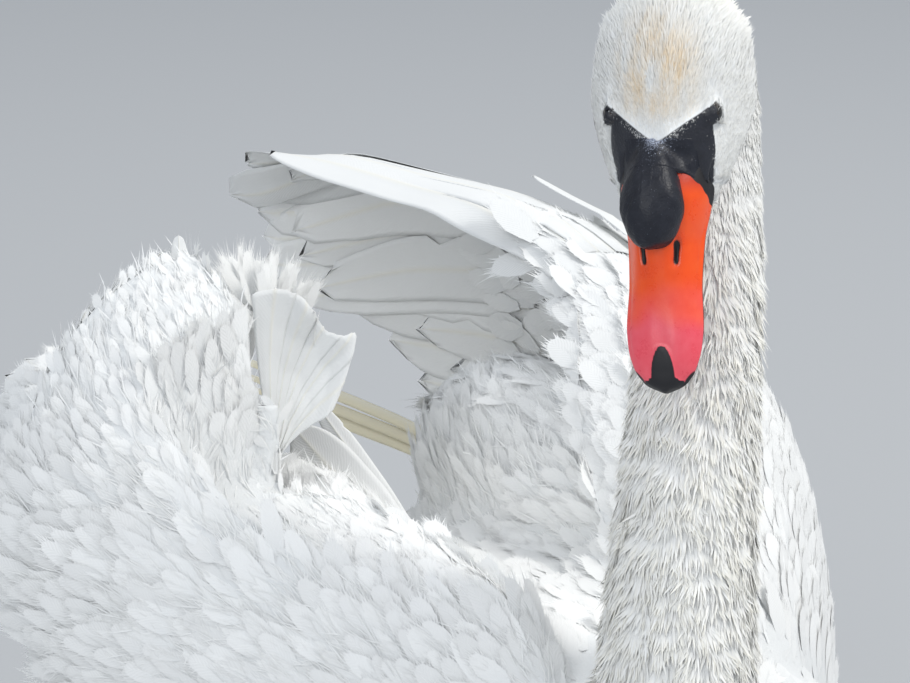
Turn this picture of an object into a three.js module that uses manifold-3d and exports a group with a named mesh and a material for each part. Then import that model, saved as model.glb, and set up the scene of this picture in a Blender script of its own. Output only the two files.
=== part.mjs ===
// A life-size mute swan (Cygnus olor), an adult male in its threat display:
// wings arched over the back, neck drawn up, bill held down, sitting on its belly.
// Millimetres. +Z is up, the swan faces -Y and its left side is +X.
// The origin is on the floor, under the middle of the flat of the belly.
import * as THREE from 'three';
import { mergeVertices } from 'three/addons/utils/BufferGeometryUtils.js';
import Module from 'manifold-3d';

const wasm = await Module();
wasm.setup();

// ---- driving dimensions -------------------------------------------------

const GAP = 0.35;                       // clearance kept between two pieces that meet
const degrees = THREE.MathUtils.degToRad;

const headPose = {
  eyes: new THREE.Vector3(-39, -178.4, 515.3), // midpoint between the two eyes
  turn: -30,                            // the way the face looks, degrees about +Z from -Y
  roll: 13.4,                           // further turn about the bill's own line
  pitch: 71.7,                          // the bill points this far below the horizontal
};

const eyeSize = { radius: 5.6, spread: 19.2, ahead: 1.7 };

const tailSize = { root: 372, tip: 472, level: 196, rise: 22, halfRoot: 30, halfTip: 62, feathers: 7 };

// ---- small tools ----------------------------------------------------------

// A smooth curve of one value through [position, value] keys, flat past both ends.
function through(keys) {
  const slope = (i) => {
    const a = keys[Math.max(i - 1, 0)];
    const b = keys[Math.min(i + 1, keys.length - 1)];
    return (b[1] - a[1]) / (b[0] - a[0]);
  };
  return (at) => {
    if (at <= keys[0][0]) return keys[0][1];
    const last = keys[keys.length - 1];
    if (at >= last[0]) return last[1];
    const i = keys.findIndex((key) => key[0] > at) - 1;
    const span = keys[i + 1][0] - keys[i][0];
    const t = (at - keys[i][0]) / span;
    const ease = t * t * (3 - 2 * t);
    const bend = span * (slope(i) * t * (1 - t) ** 2 - slope(i + 1) * t * t * (1 - t));
    return keys[i][1] * (1 - ease) + keys[i + 1][1] * ease + bend;
  };
}

const steps = (from, to, count) =>
  Array.from({ length: count + 1 }, (_, i) => from + ((to - from) * i) / count);

// A closed body through rings of points, each ring closed by a fan at the two ends.
function loft(rings) {
  const sides = rings[0].length;
  const points = rings.flat().map((p) => p.toArray());
  const faces = [];
  for (let r = 0; r + 1 < rings.length; r++) {
    for (let s = 0; s < sides; s++) {
      const a = r * sides + s;
      const b = r * sides + ((s + 1) % sides);
      faces.push([a, b, b + sides], [a, b + sides, a + sides]);
    }
  }
  for (const [ring, flip] of [[0, true], [rings.length - 1, false]]) {
    const middle = rings[ring].reduce((sum, p) => sum.add(p), new THREE.Vector3());
    points.push(middle.divideScalar(sides).toArray());
    for (let s = 0; s < sides; s++) {
      const edge = [ring * sides + s, ring * sides + ((s + 1) % sides), points.length - 1];
      faces.push(flip ? [edge[1], edge[0], edge[2]] : edge);
    }
  }
  return solidOf(points, faces);
}

// A closed shell between an outer and an inner grid of points, [row][column].
function shell(outer, inner) {
  const rows = outer.length;
  const columns = outer[0].length;
  const points = [...outer.flat(), ...inner.flat()].map((p) => p.toArray());
  const under = rows * columns;
  const faces = [];
  const quad = (a, b, c, d) => faces.push([a, b, c], [a, c, d]);
  for (let r = 0; r + 1 < rows; r++) {
    for (let c = 0; c + 1 < columns; c++) {
      const a = r * columns + c;
      quad(a, a + 1, a + columns + 1, a + columns);
      quad(under + a, under + a + columns, under + a + columns + 1, under + a + 1);
    }
  }
  const rim = [
    ...Array.from({ length: columns - 1 }, (_, c) => c),
    ...Array.from({ length: rows - 1 }, (_, r) => r * columns + columns - 1),
    ...Array.from({ length: columns - 1 }, (_, c) => rows * columns - 1 - c),
    ...Array.from({ length: rows - 1 }, (_, r) => (rows - 1 - r) * columns),
  ];
  rim.forEach((a, i) => {
    const b = rim[(i + 1) % rim.length];
    quad(b, a, under + a, under + b);
  });
  return solidOf(points, faces);
}

// A manifold solid from points and faces, turned the right way out.
function solidOf(points, faces) {
  const geometry = new THREE.BufferGeometry();
  geometry.setAttribute('position', new THREE.Float32BufferAttribute(points.flat(), 3));
  geometry.setIndex(faces.flat());
  const merged = mergeVertices(geometry, 1e-3);
  const make = (index) => new wasm.Manifold(new wasm.Mesh({
    numProp: 3,
    vertProperties: new Float32Array(merged.attributes.position.array),
    triVerts: new Uint32Array(index),
  }));
  const index = [...merged.index.array];
  const solid = make(index);
  if (solid.volume() > 0) return solid;
  for (let i = 0; i < index.length; i += 3) [index[i + 1], index[i + 2]] = [index[i + 2], index[i + 1]];
  return make(index);
}

// A three.js geometry as a solid.
function solidFrom(geometry) {
  const points = [];
  const at = geometry.attributes.position;
  for (let i = 0; i < at.count; i++) points.push([at.getX(i), at.getY(i), at.getZ(i)]);
  const index = geometry.index ? [...geometry.index.array] : points.map((_, i) => i);
  const faces = [];
  for (let i = 0; i < index.length; i += 3) faces.push(index.slice(i, i + 3));
  return solidOf(points, faces);
}

const largest = (solid) =>
  solid.decompose().reduce((a, b) => (b.volume() > a.volume() ? b : a));

const without = (solid, ...others) =>
  largest(others.reduce((left, other) => left.subtract(other), solid));

// ---- trunk -----------------------------------------------------------------

const trunkKeys = {
  low: through([[-206, 140], [-196, 104], [-170, 56], [-130, 22], [-80, 2], [-20, -4], [60, -5],
    [140, -4], [220, 14], [290, 60], [340, 106], [380, 140], [392, 158]]),
  high: through([[-206, 158], [-196, 196], [-170, 236], [-130, 262], [-80, 272], [60, 268],
    [140, 254], [220, 234], [290, 216], [340, 204], [380, 196], [392, 190]]),
  half: through([[-206, 14], [-196, 46], [-170, 82], [-130, 109], [-80, 130], [-20, 146], [60, 152],
    [140, 144], [200, 124], [290, 92], [340, 66], [380, 40], [392, 26]]),
};

const trunkEnds = { breast: -206, rump: 392 };

// A ring of the trunk at y. The belly is rounder than the back, and grow widens it all round.
function trunkRing(y, grow, sides = 22) {
  const low = trunkKeys.low(y) - grow;
  const high = trunkKeys.high(y) + grow;
  const half = trunkKeys.half(y) + grow;
  const middle = low + (high - low) * 0.47;
  return steps(0, 2 * Math.PI, sides).slice(0, sides).map((angle) => {
    const across = Math.sign(Math.cos(angle)) * Math.abs(Math.cos(angle)) ** 0.88;
    const rise = Math.sin(angle) > 0 ? high - middle : middle - low;
    return new THREE.Vector3(across * half, y, middle + rise * Math.sin(angle));
  });
}

function trunk(grow = 0) {
  const count = 17;
  const body = loft(steps(trunkEnds.breast, trunkEnds.rump, count).map((y, i) => {
    const end = (i === count) - (i === 0);
    return trunkRing(y, grow).map((p) => p.setY(y + end * grow));
  }));
  const floor = new THREE.BoxGeometry(900, 1200, 100);
  floor.translate(0, 0, -50 - grow);
  return body.subtract(solidFrom(floor));
}

// ---- neck ------------------------------------------------------------------

const neckLine = new THREE.CatmullRomCurve3([
  new THREE.Vector3(0, -62, 130),
  new THREE.Vector3(-6, -118, 190),
  new THREE.Vector3(-14, -148, 250),
  new THREE.Vector3(-12, -152, 320),
  new THREE.Vector3(-5, -148, 385),
  new THREE.Vector3(1, -141, 440),
  new THREE.Vector3(6, -131, 482),
  new THREE.Vector3(3, -133, 510),
  new THREE.Vector3(-12, -145, 534),
], false, 'centripetal');

const neckRadius = through([[0, 92], [0.14, 72], [0.27, 44], [0.36, 37.5], [0.5, 33.5], [0.66, 30],
  [0.8, 29.2], [0.92, 29], [1, 24]]);

function neckPiece(from, to, grow = 0, sides = 16) {
  const count = Math.max(2, Math.round((to - from) * 24));
  const rings = steps(from, to, count).map((t) => {
    const at = neckLine.getPointAt(t);
    const along = neckLine.getTangentAt(t);
    const side = new THREE.Vector3(0, -1, 0).cross(along).normalize();
    const front = new THREE.Vector3().crossVectors(along, side);
    const radius = neckRadius(t) + grow;
    return steps(0, 2 * Math.PI, sides).slice(0, sides).map((angle) =>
      at.clone()
        .addScaledVector(side, radius * Math.cos(angle))
        .addScaledVector(front, radius * 0.96 * Math.sin(angle)));
  });
  return loft(rings);
}

// ---- head and bill -----------------------------------------------------------

// The head's own axes: along the bill, out of the crown, and to the swan's left.
const headAxes = (() => {
  const turn = degrees(headPose.turn);
  const ahead = new THREE.Vector3(Math.sin(turn), -Math.cos(turn), 0);
  const left = new THREE.Vector3(Math.cos(turn), Math.sin(turn), 0);
  const pitch = degrees(headPose.pitch);
  const along = ahead.clone().multiplyScalar(Math.cos(pitch))
    .add(new THREE.Vector3(0, 0, -Math.sin(pitch)));
  const crown = new THREE.Vector3().crossVectors(left, along).negate();
  const roll = degrees(headPose.roll);
  return {
    along,
    crown: crown.clone().multiplyScalar(Math.cos(roll)).addScaledVector(left, -Math.sin(roll)),
    left: left.clone().multiplyScalar(Math.cos(roll)).addScaledVector(crown, Math.sin(roll)),
  };
})();

const onHead = (left, along, crown) => headPose.eyes.clone()
  .addScaledVector(headAxes.left, left)
  .addScaledVector(headAxes.along, along)
  .addScaledVector(headAxes.crown, crown);

// A body on the head's axes: rings along the bill's line, each with its own level,
// half width, rise and drop. squeeze narrows the ring towards its top, grow widens it.
function headLoft(from, to, count, sides, shape, grow) {
  return loft(steps(from, to, count).map((at, i) => {
    const { level, half, rise, drop, squeeze = 0 } = shape(at);
    const end = (i === count) - (i === 0);
    return steps(0, 2 * Math.PI, sides).slice(0, sides).map((angle) => {
      const up = Math.sin(angle);
      const width = (half + grow) * (1 - squeeze * Math.max(up, 0));
      const tall = (up > 0 ? rise : drop) + grow;
      return onHead(width * Math.cos(angle), at + end * grow, level + tall * up);
    });
  }));
}

const headKeys = {
  level: through([[-52, -17], [-20, -19], [0, -18], [20, -14], [40, -11]]),
  half: through([[-52, 5], [-49, 14], [-44, 22.5], [-34, 29.5], [-20, 34], [-4, 35.5], [10, 32.5],
    [22, 28], [32, 24], [42, 19.5]]),
  rise: through([[-52, 4], [-49, 12], [-44, 20], [-34, 28.5], [-20, 34.5], [-4, 34], [10, 29.5],
    [22, 24], [32, 20], [42, 15]]),
  drop: through([[-52, 4], [-49, 11], [-44, 16], [-34, 20], [-20, 22], [-4, 22], [10, 20],
    [22, 17], [32, 14], [42, 10]]),
  squeeze: through([[-52, 0.1], [-20, 0.18], [0, 0.3], [20, 0.3], [40, 0.2]]),
};

const headBody = (grow = 0) => headLoft(-52, 40, 13, 18, (at) => ({
  level: headKeys.level(at),
  half: headKeys.half(at),
  rise: headKeys.rise(at),
  drop: headKeys.drop(at),
  squeeze: headKeys.squeeze(at),
}), grow);

const billKeys = {
  half: through([[16, 19], [36, 18], [50, 16], [70, 15.3], [92, 15.8], [102, 14], [109, 10.5],
    [113, 6], [115, 1.5]]),
  rise: through([[16, 27], [30, 23], [44, 19.5], [62, 14.5], [80, 10], [96, 7.2], [106, 5.4],
    [113, 3], [115, 1]]),
  edge: through([[16, -10], [40, -9.5], [70, -8.5], [95, -8], [115, -9.5]]),
};

const upperBill = (grow = 0) => headLoft(18, 115, 13, 12, (at) => ({
  level: billKeys.edge(at),
  half: billKeys.half(at),
  rise: billKeys.rise(at),
  drop: 0.6,
  squeeze: 0.1,
}), grow);

const lowerBill = () => headLoft(24, 111, 7, 10, (at) => ({
  level: billKeys.edge(at) - 1.2,
  half: billKeys.half(at) * 0.9,
  rise: 0.15,
  drop: 2 + 5.5 * Math.sqrt((112 - at) / 92),
}), 0);

const knobSize = { ahead: 40.5, up: 11.5, across: 13, along: 18.5 };

const knob = (grow = 0) => {
  const ball = new THREE.SphereGeometry(1, 14, 9);
  ball.scale(knobSize.across + grow, knobSize.along + grow, knobSize.across + grow);
  const at = ball.attributes.position;
  for (let i = 0; i < at.count; i++) {
    const p = onHead(at.getX(i), knobSize.ahead + at.getY(i), knobSize.up + at.getZ(i));
    at.setXYZ(i, p.x, p.y, p.z);
  }
  return solidFrom(ball);
};

const eye = (side, grow = 0) => {
  const ball = new THREE.SphereGeometry(eyeSize.radius + grow, 10, 6);
  const at = onHead(side * eyeSize.spread, eyeSize.ahead, 0);
  ball.translate(at.x, at.y, at.z);
  return solidFrom(ball);
};

// ---- wings -------------------------------------------------------------------

// A raised wing is an arch: at each y its surface is part of an ellipse about a line
// beside the back. line and across place it sideways, middle and top set its height.
// The right wing is ruffled up in a tuft behind a lower ridge, and lies lower at the back.
const wings = {
  left: {
    side: 1,
    line: through([[-120, 54], [-100, 60], [-40, 74], [34, 88], [110, 95], [220, 90], [317, 72],
      [430, 44]]),
    across: through([[-120, 16], [-100, 30], [-40, 60], [0, 76], [40, 88], [100, 92], [160, 95],
      [220, 94], [300, 88], [375, 74], [430, 62]]),
    middle: through([[-120, 190], [-100, 178], [-40, 188], [34, 196], [110, 212], [220, 234],
      [317, 244], [430, 240]]),
    top: through([[-120, 240], [-100, 262], [-60, 290], [-40, 308], [0, 340], [40, 358], [100, 372],
      [178, 384], [238, 380], [300, 380], [350, 378], [400, 350], [430, 326]]),
    inner: through([[-100, 150], [0, 138], [60, 118], [110, 104], [400, 104]]),
    lowest: through([[-100, -64], [0, -44], [150, -18]]),
    square: 1,
    rearEdge: through([[150, -12], [360, -2]]),
    secondaryTips: [362, 382, 408, 436, 436, 426, 422],
    tertialTips: [418, 412, 388, 352],
    tertialRows: 4,
    tertialStart: 150,
    tertialAngle: 62,
    tertialInner: through([[110, 104], [400, 104]]),
    foldedRoot: new THREE.Vector3(120, 150, 226),
    foldedTip: new THREE.Vector3(54, 432, 254),
    mound: { centre: new THREE.Vector3(66, 96, 262), radii: new THREE.Vector3(56, 114, 71) },
  },
  right: {
    side: -1,
    line: through([[-120, 54], [-100, 60], [-40, 74], [34, 88], [90, 95], [130, 88], [160, 76],
      [200, 64], [300, 54], [430, 40]]),
    across: through([[-120, 16], [-100, 30], [-40, 62], [0, 84], [50, 111], [90, 120], [120, 100],
      [150, 76], [200, 56], [300, 48], [430, 44]]),
    middle: through([[-120, 196], [-100, 186], [-40, 200], [0, 226], [50, 268], [90, 288], [130, 275],
      [160, 255], [200, 240], [300, 226], [430, 226]]),
    top: through([[-120, 256], [-100, 282], [-60, 292], [-20, 310], [20, 345], [46, 384], [70, 402],
      [95, 411], [130, 394], [150, 366], [200, 322], [250, 294], [430, 280]]),
    ridge: through([[-120, 256], [-100, 282], [-60, 290], [-20, 297], [20, 301], [50, 308]]),
    inner: through([[-120, 124], [-40, 114], [0, 102], [36, 100], [47, 90], [49, 84], [150, 84]]),
    lowest: through([[-100, -75], [60, -75], [90, -60], [120, -36], [150, -32]]),
    square: 0.8,
    rearEdge: through([[150, -30], [360, -14]]),
    secondaryTips: [350, 368, 382, 392, 396, 394, 388],
    tertialTips: [382, 350, 306, 250],
    tertialRows: 6,
    tertialStart: 70,
    tertialAngle: 85,
    tertialInner: through([[70, 91], [120, 95], [180, 100], [400, 100]]),
    foldedRoot: new THREE.Vector3(-86, 158, 218),
    foldedTip: new THREE.Vector3(-34, 428, 250),
    mound: { centre: new THREE.Vector3(-62, 95, 246), radii: new THREE.Vector3(46, 100, 54) },
  },
};
const armEnd = 150;                     // where the coverts stop and the long feathers go on
const ridgeEnd = 48;                    // the right wing's tuft stands behind this
const tuft = { wall: 14, turn: 20 };     // how far behind its front and side its inner face lies

// A point of a wing's arch, lying inset inside its outer face. behind is 1 on the arm's
// inner face, where the step up to the tuft lies further back and further out.
function onWing(wing, y, angle, inset, behind = 0) {
  const a = degrees(angle);
  const across = wing.across(y);
  const stepAt = ridgeEnd + behind * tuft.wall;
  let top = wing.top(y);
  if (wing.ridge && y < stepAt) {
    const onRidge = THREE.MathUtils.smoothstep(angle + behind * tuft.turn, 50, 72);
    top = THREE.MathUtils.lerp(top, Math.min(top, wing.ridge(y)), onRidge);
  }
  const droop = wing.ridge && y > stepAt ? 0.35 * Math.max(0, angle - 75) : 0;
  const tall = top - wing.middle(y);
  const depth = Math.min(inset, across * 0.7, tall * 0.7);
  const out = Math.sign(Math.cos(a)) * Math.abs(Math.cos(a)) ** wing.square;
  return new THREE.Vector3(
    wing.side * (wing.line(y) + (across - depth) * out),
    y,
    wing.middle(y) + (tall - depth) * Math.sin(a) - droop,
  );
}

// The arm with its coverts: a thick arch, closed in front, thinning towards the back.
function wingArm(wing, grow = 0) {
  const thick = through([[-100, 60], [-40, 44], [20, 26], [90, 16], [150, 11]]);
  const rows = [-120, -100, -75, -50, -25, 0, 20, 36, ridgeEnd - 1, ridgeEnd + 1, 58, 72, 90, 110,
    130, armEnd - GAP + grow];
  const spare = grow * 0.8;
  const grid = (inside) => rows.map((y) => steps(0, 1, 12).map((t) => onWing(wing, y,
    THREE.MathUtils.lerp(wing.lowest(y) - spare, wing.inner(y) + spare, t),
    inside ? thick(y) + grow : -grow, inside ? 1 : 0)));
  return shell(grid(false), grid(true));
}

// A row of long feathers lying side by side on the arch, their lengths running smoothly
// from one to the next. Each ends in a rounded tip, with a notch before the next.
function featherRow(wing, start, firstAngle, lastAngle, tips, rows) {
  const lobe = [0.8, 0.24, 0, 0.26];    // how far back the edge falls across one feather
  const notch = 27;
  const columns = tips.length * 4;
  const tipAt = through(tips.map((tip, i) => [(i + 0.5) / tips.length, tip]));
  const grid = (inset) => steps(0, 1, rows).map((t) =>
    steps(0, 1, columns).map((c) => {
      const place = Math.round(c * columns) % 4;
      const y = THREE.MathUtils.lerp(start + GAP, tipAt(c), t) - notch * lobe[place] * t ** 2;
      const angle = THREE.MathUtils.lerp(firstAngle(y), lastAngle(y), c);
      const step = place === 0 ? 0.8 : 0;
      return onWing(wing, y, angle, step + inset * THREE.MathUtils.lerp(5, 2, t));
    }));
  return shell(grid(0), grid(1));
}

const secondaries = (wing) => featherRow(wing, armEnd, wing.rearEdge,
  () => wing.tertialAngle - 1, wing.secondaryTips, 4);

const tertials = (wing) => featherRow(wing, wing.tertialStart,
  () => wing.tertialAngle + 1, wing.tertialInner, wing.tertialTips, wing.tertialRows);

// The upright fan: short feathers standing at the front of the right wing's tuft, rooted
// on the ridge, hollowed towards the front and spread inwards over the back.
const fan = {
  root: new THREE.Vector3(-97, 61, 314),
  reach: through([[42, 34], [50, 56], [60, 69], [72, 74], [94, 80]]),
  first: 42,
  last: 94,
  hollow: 9,
  thick: 3.4,
};

function uprightFan() {
  const columns = 9;
  const notch = 7;
  const place = (angle, i, t, behind) => {
    const inNotch = i % 3 === 0 && i > 0 && i < columns;
    const away = THREE.MathUtils.lerp(5, fan.reach(angle) - (inNotch ? notch : 0), t);
    const hollow = fan.hollow * 4 * t * (1 - t) * (0.4 + 0.6 * Math.sin((Math.PI * i) / columns));
    return fan.root.clone().add(new THREE.Vector3(
      away * Math.cos(degrees(angle)),
      hollow - 5 * t + behind * THREE.MathUtils.lerp(fan.thick, 1.6, t),
      away * Math.sin(degrees(angle)),
    ));
  };
  const angles = steps(fan.first, fan.last, columns);
  const grid = (behind) => steps(0, 1, 4).map((t) => angles.map((angle, i) => place(angle, i, t, behind)));
  return shell(grid(0), grid(1));
}

// The folded primaries: a narrow sheaf running back above the rump to a point.
function primaries(wing) {
  const width = through([[0, 32], [0.5, 27], [0.8, 18], [1, 4]]);
  const thick = through([[0, 9], [0.6, 6], [1, 1.4]]);
  const { foldedRoot: root, foldedTip: tip } = wing;
  return loft(steps(0, 1, 7).map((t) => {
    const middle = root.clone().lerp(tip, t);
    middle.x += wing.side * 12 * Math.sin(Math.PI * t);
    return steps(0, 2 * Math.PI, 8).slice(0, 8).map((angle) => new THREE.Vector3(
      middle.x + (width(t) / 2) * Math.cos(angle),
      middle.y,
      middle.z + (thick(t) / 2) * Math.sin(angle) + wing.side * 0.12 * width(t) * Math.cos(angle),
    ));
  }));
}

// The loose feathers over the shoulder, heaped on the back inside the wing.
function scapulars(centre, radii) {
  const ball = new THREE.SphereGeometry(1, 14, 10);
  ball.rotateX(Math.PI / 2);
  ball.scale(radii.x, radii.y, radii.z);
  ball.translate(centre.x, centre.y, centre.z);
  return solidFrom(ball);
}

// ---- tail and legs -------------------------------------------------------------

// A short wedge of stiff feathers, the middle ones the longest.
function tail() {
  const columns = tailSize.feathers * 3;
  const grid = (under) => steps(0, 1, 2).map((t) => steps(-1, 1, columns).map((c) => {
    const place = Math.round(((c + 1) / 2) * columns) % 3;
    const end = tailSize.tip - 46 * Math.abs(c) ** 1.6 - (place === 0 ? 13 : 0);
    const y = THREE.MathUtils.lerp(tailSize.root - 24, end, t);
    const half = THREE.MathUtils.lerp(tailSize.halfRoot, tailSize.halfTip, t);
    const z = tailSize.level + tailSize.rise * t - 9 * c * c * (0.5 + t);
    return new THREE.Vector3(half * c, y, z - under * THREE.MathUtils.lerp(14, 1.8, t));
  }));
  return shell(grid(0), grid(1));
}

const foot = {
  heel: new THREE.Vector3(94, 214, 40),
  joint: new THREE.Vector3(86, 118, 9),
  toes: [[70, 8], [92, -18], [117, 4]],
  web: 2.6,
};

// A rod from one point to another, round, with its own radius at each end.
function rod(from, to, startRadius, endRadius, sides = 7) {
  const along = to.clone().sub(from);
  const body = new THREE.CylinderGeometry(endRadius, startRadius, along.length(), sides, 1);
  body.translate(0, along.length() / 2, 0);
  body.applyQuaternion(new THREE.Quaternion().setFromUnitVectors(
    new THREE.Vector3(0, 1, 0), along.clone().normalize()));
  body.translate(from.x, from.y, from.z);
  return solidFrom(body);
}

// A leg folded under the flank: the shank runs forward from the heel to a webbed foot
// that lies flat beside the belly.
function leg(side) {
  const flip = (p) => new THREE.Vector3(side * p.x, p.y, p.z);
  const outline = new THREE.Shape();
  outline.moveTo(side * (foot.joint.x - 5), foot.joint.y + 2);
  foot.toes.forEach(([x, y], i) => {
    if (i > 0) {
      const [lastX, lastY] = foot.toes[i - 1];
      outline.quadraticCurveTo(side * (x + lastX) / 2, (y + lastY) / 2 + 16, side * x, y);
    } else outline.lineTo(side * x, y);
  });
  outline.lineTo(side * (foot.joint.x + 5), foot.joint.y + 2);
  outline.closePath();
  const web = new THREE.ExtrudeGeometry(outline, { depth: foot.web, bevelEnabled: false, curveSegments: 5 });
  const toeRoot = flip(foot.joint).setZ(4);
  const toes = foot.toes.map(([x, y]) => rod(toeRoot, flip(new THREE.Vector3(x, y - 4, 2)), 5.5, 3));
  const shank = rod(flip(foot.heel), flip(foot.joint), 8, 6.5);
  const knuckle = rod(flip(foot.joint).setZ(0), flip(foot.joint).setZ(15), 8.5, 6.5);
  const underFloor = new THREE.BoxGeometry(400, 600, 60);
  underFloor.translate(0, 100, -30);
  return [...toes, shank, knuckle].reduce((all, piece) => all.add(piece), solidFrom(web))
    .subtract(solidFrom(underFloor));
}

// ---- assembly ----------------------------------------------------------------

const colours = {
  plumage: { color: 0xf3f1ec, roughness: 0.85, metalness: 0 },
  bill: { color: 0xd9481e, roughness: 0.42, metalness: 0 },
  black: { color: 0x15161b, roughness: 0.5, metalness: 0 },
  eye: { color: 0x120d0b, roughness: 0.08, metalness: 0 },
  leg: { color: 0x34353a, roughness: 0.6, metalness: 0 },
};

const part = new THREE.Group();
part.name = 'mute_swan';

function add(name, solid, colour = 'plumage') {
  const { vertProperties, triVerts, numProp, numVert } = solid.getMesh();
  const points = new Float32Array(numVert * 3);
  for (let i = 0; i < numVert; i++) {
    points.set(vertProperties.subarray(i * numProp, i * numProp + 3), i * 3);
  }
  const geometry = new THREE.BufferGeometry();
  geometry.setAttribute('position', new THREE.BufferAttribute(points, 3));
  geometry.setIndex(new THREE.BufferAttribute(triVerts, 1));
  geometry.computeVertexNormals();
  const mesh = new THREE.Mesh(geometry, new THREE.MeshStandardMaterial(colours[colour]));
  mesh.name = name;
  part.add(mesh);
}

const wideTrunk = trunk(GAP);
const wideNeck = neckPiece(0, 0.5, GAP);

add('trunk', trunk());
add('tail', without(tail(), wideTrunk));
add('neck_lower', without(neckPiece(0, 0.38), wideTrunk));
add('neck_middle', neckPiece(0.3815, 0.66));
add('neck_upper', without(neckPiece(0.6615, 1), headBody(GAP)));
add('head', without(headBody(), upperBill(GAP), knob(GAP), eye(1, GAP), eye(-1, GAP)));
add('bill_upper', without(upperBill(), knob(GAP)), 'bill');
add('bill_lower', without(lowerBill(), headBody(GAP)), 'bill');
add('bill_knob', knob(), 'black');
add('eye_left', eye(1), 'eye');
add('eye_right', eye(-1), 'eye');

for (const [name, wing] of Object.entries(wings)) {
  const { centre, radii } = wing.mound;
  const wideMound = scapulars(centre, radii.clone().addScalar(GAP));
  const wideArm = wingArm(wing, GAP);
  add(`wing_${name}`, without(wingArm(wing), wideTrunk, wideNeck, wideMound));
  add(`secondaries_${name}`, without(secondaries(wing), wideTrunk, wideArm));
  add(`tertials_${name}`, without(tertials(wing), wideMound, wideArm));
  add(`primaries_${name}`, without(primaries(wing), wideTrunk, wideMound));
  add(`scapulars_${name}`, without(scapulars(centre, radii), wideTrunk, wideNeck));
  add(`leg_${name}`, without(leg(wing.side), wideTrunk), 'leg');
}
add('fan_right', without(uprightFan(), wingArm(wings.right, GAP)));

export default part;
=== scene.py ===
import math

import bmesh
import bpy
import numpy as np
from mathutils import Matrix, Vector
from mathutils.bvhtree import BVHTree


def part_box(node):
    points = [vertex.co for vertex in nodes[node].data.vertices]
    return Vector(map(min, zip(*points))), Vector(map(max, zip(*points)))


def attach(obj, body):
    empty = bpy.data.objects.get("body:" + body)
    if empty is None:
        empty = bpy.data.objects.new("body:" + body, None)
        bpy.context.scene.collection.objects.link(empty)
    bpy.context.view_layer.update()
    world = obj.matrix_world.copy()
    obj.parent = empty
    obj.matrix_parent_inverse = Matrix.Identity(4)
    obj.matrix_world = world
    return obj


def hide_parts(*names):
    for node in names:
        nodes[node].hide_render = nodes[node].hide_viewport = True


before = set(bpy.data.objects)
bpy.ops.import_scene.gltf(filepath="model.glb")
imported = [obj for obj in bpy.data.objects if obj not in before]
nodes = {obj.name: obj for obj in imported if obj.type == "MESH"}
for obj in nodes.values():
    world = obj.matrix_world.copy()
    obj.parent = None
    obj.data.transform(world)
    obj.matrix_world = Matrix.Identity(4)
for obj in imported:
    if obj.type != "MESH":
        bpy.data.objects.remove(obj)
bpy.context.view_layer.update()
rng = np.random.default_rng(11)


def deselectAll():
    if bpy.context.object and bpy.context.object.mode != "OBJECT":
        bpy.ops.object.mode_set(mode="OBJECT")
    bpy.ops.object.select_all(action="DESELECT")


def makeActive(obj):
    deselectAll()
    obj.select_set(True)
    bpy.context.view_layer.objects.active = obj


def applyModifier(obj, kind, **settings):
    makeActive(obj)
    modifier = obj.modifiers.new(kind.title(), kind)
    for key, value in settings.items():
        setattr(modifier, key, value)
    bpy.ops.object.modifier_apply(modifier=modifier.name)


def editAll(obj, operator, **settings):
    # one edit mode operator on the whole of an object
    makeActive(obj)
    bpy.ops.object.mode_set(mode="EDIT")
    bpy.ops.mesh.select_all(action="SELECT")
    operator(**settings)
    bpy.ops.object.mode_set(mode="OBJECT")


def joinOnto(obj, others):
    makeActive(obj)
    for other in others:
        other.select_set(True)
    bpy.ops.object.join()


def link(obj):
    bpy.context.scene.collection.objects.link(obj)
    return obj


def readVectors(data, key):
    flat = np.empty(len(data) * 3, np.float32)
    data.foreach_get(key, flat)
    return flat.reshape(-1, 3).astype(float)


def getPoints(mesh):
    return readVectors(mesh.vertices, "co")


def getNormals(mesh):
    return readVectors(mesh.vertex_normals, "vector")


def setPoints(mesh, points):
    mesh.vertices.foreach_set("co", np.asarray(points, np.float32).ravel())
    mesh.update()


def setAttributes(obj, **marks):
    # one number for each point, read by the materials
    for name, values in marks.items():
        data = obj.data.attributes.get(name) or obj.data.attributes.new(name, "FLOAT", "POINT")
        data.data.foreach_set("value", np.asarray(values, np.float32).ravel())


def unit(v):
    length = np.linalg.norm(v, axis=-1, keepdims=True)
    return v / np.maximum(length, 1e-9)


def smoothStep(low, high, x):
    t = np.clip((x - low) / (high - low), 0, 1)
    return t * t * (3 - 2 * t)


def copyOfNodes(name, nodeNames):
    # one new object from copies of CAD nodes, with their loose triangles merged
    copies = []
    for nodeName in nodeNames:
        copy = nodes[nodeName].copy()
        copy.data = nodes[nodeName].data.copy()
        copy.parent = None
        for key in list(copy.keys()):
            del copy[key]
        link(copy).hide_viewport = False
        copies.append(copy)
    joined = copies[0]
    joinOnto(joined, copies[1:])
    joined.name = joined.data.name = name
    joined.data.materials.clear()
    editAll(joined, bpy.ops.mesh.remove_doubles, threshold=0.00002)
    return joined


def noiseAt(points, size, seed):
    # smooth noise from -1 to 1, made of a few sine waves in fixed random directions
    waves = np.random.default_rng(seed)
    total = np.zeros(len(points))
    for _ in range(7):
        way = unit(waves.normal(size=3))
        pitch = 2 * math.pi / size * waves.uniform(0.6, 1.6)
        total += np.sin(points @ way * pitch + waves.uniform(0, 7))
    return total / 3.2


def castRays(tree, starts, way, axis, reach=100.0):
    # the coordinate at which each ray meets the tree's faces; nan where it meets none
    ends = np.full(starts.shape[:-1], np.nan)
    for spot in np.ndindex(ends.shape):
        hit = tree.ray_cast(Vector(starts[spot]), Vector(way), reach)[0]
        if hit is not None:
            ends[spot] = hit[axis]
    return ends


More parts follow.
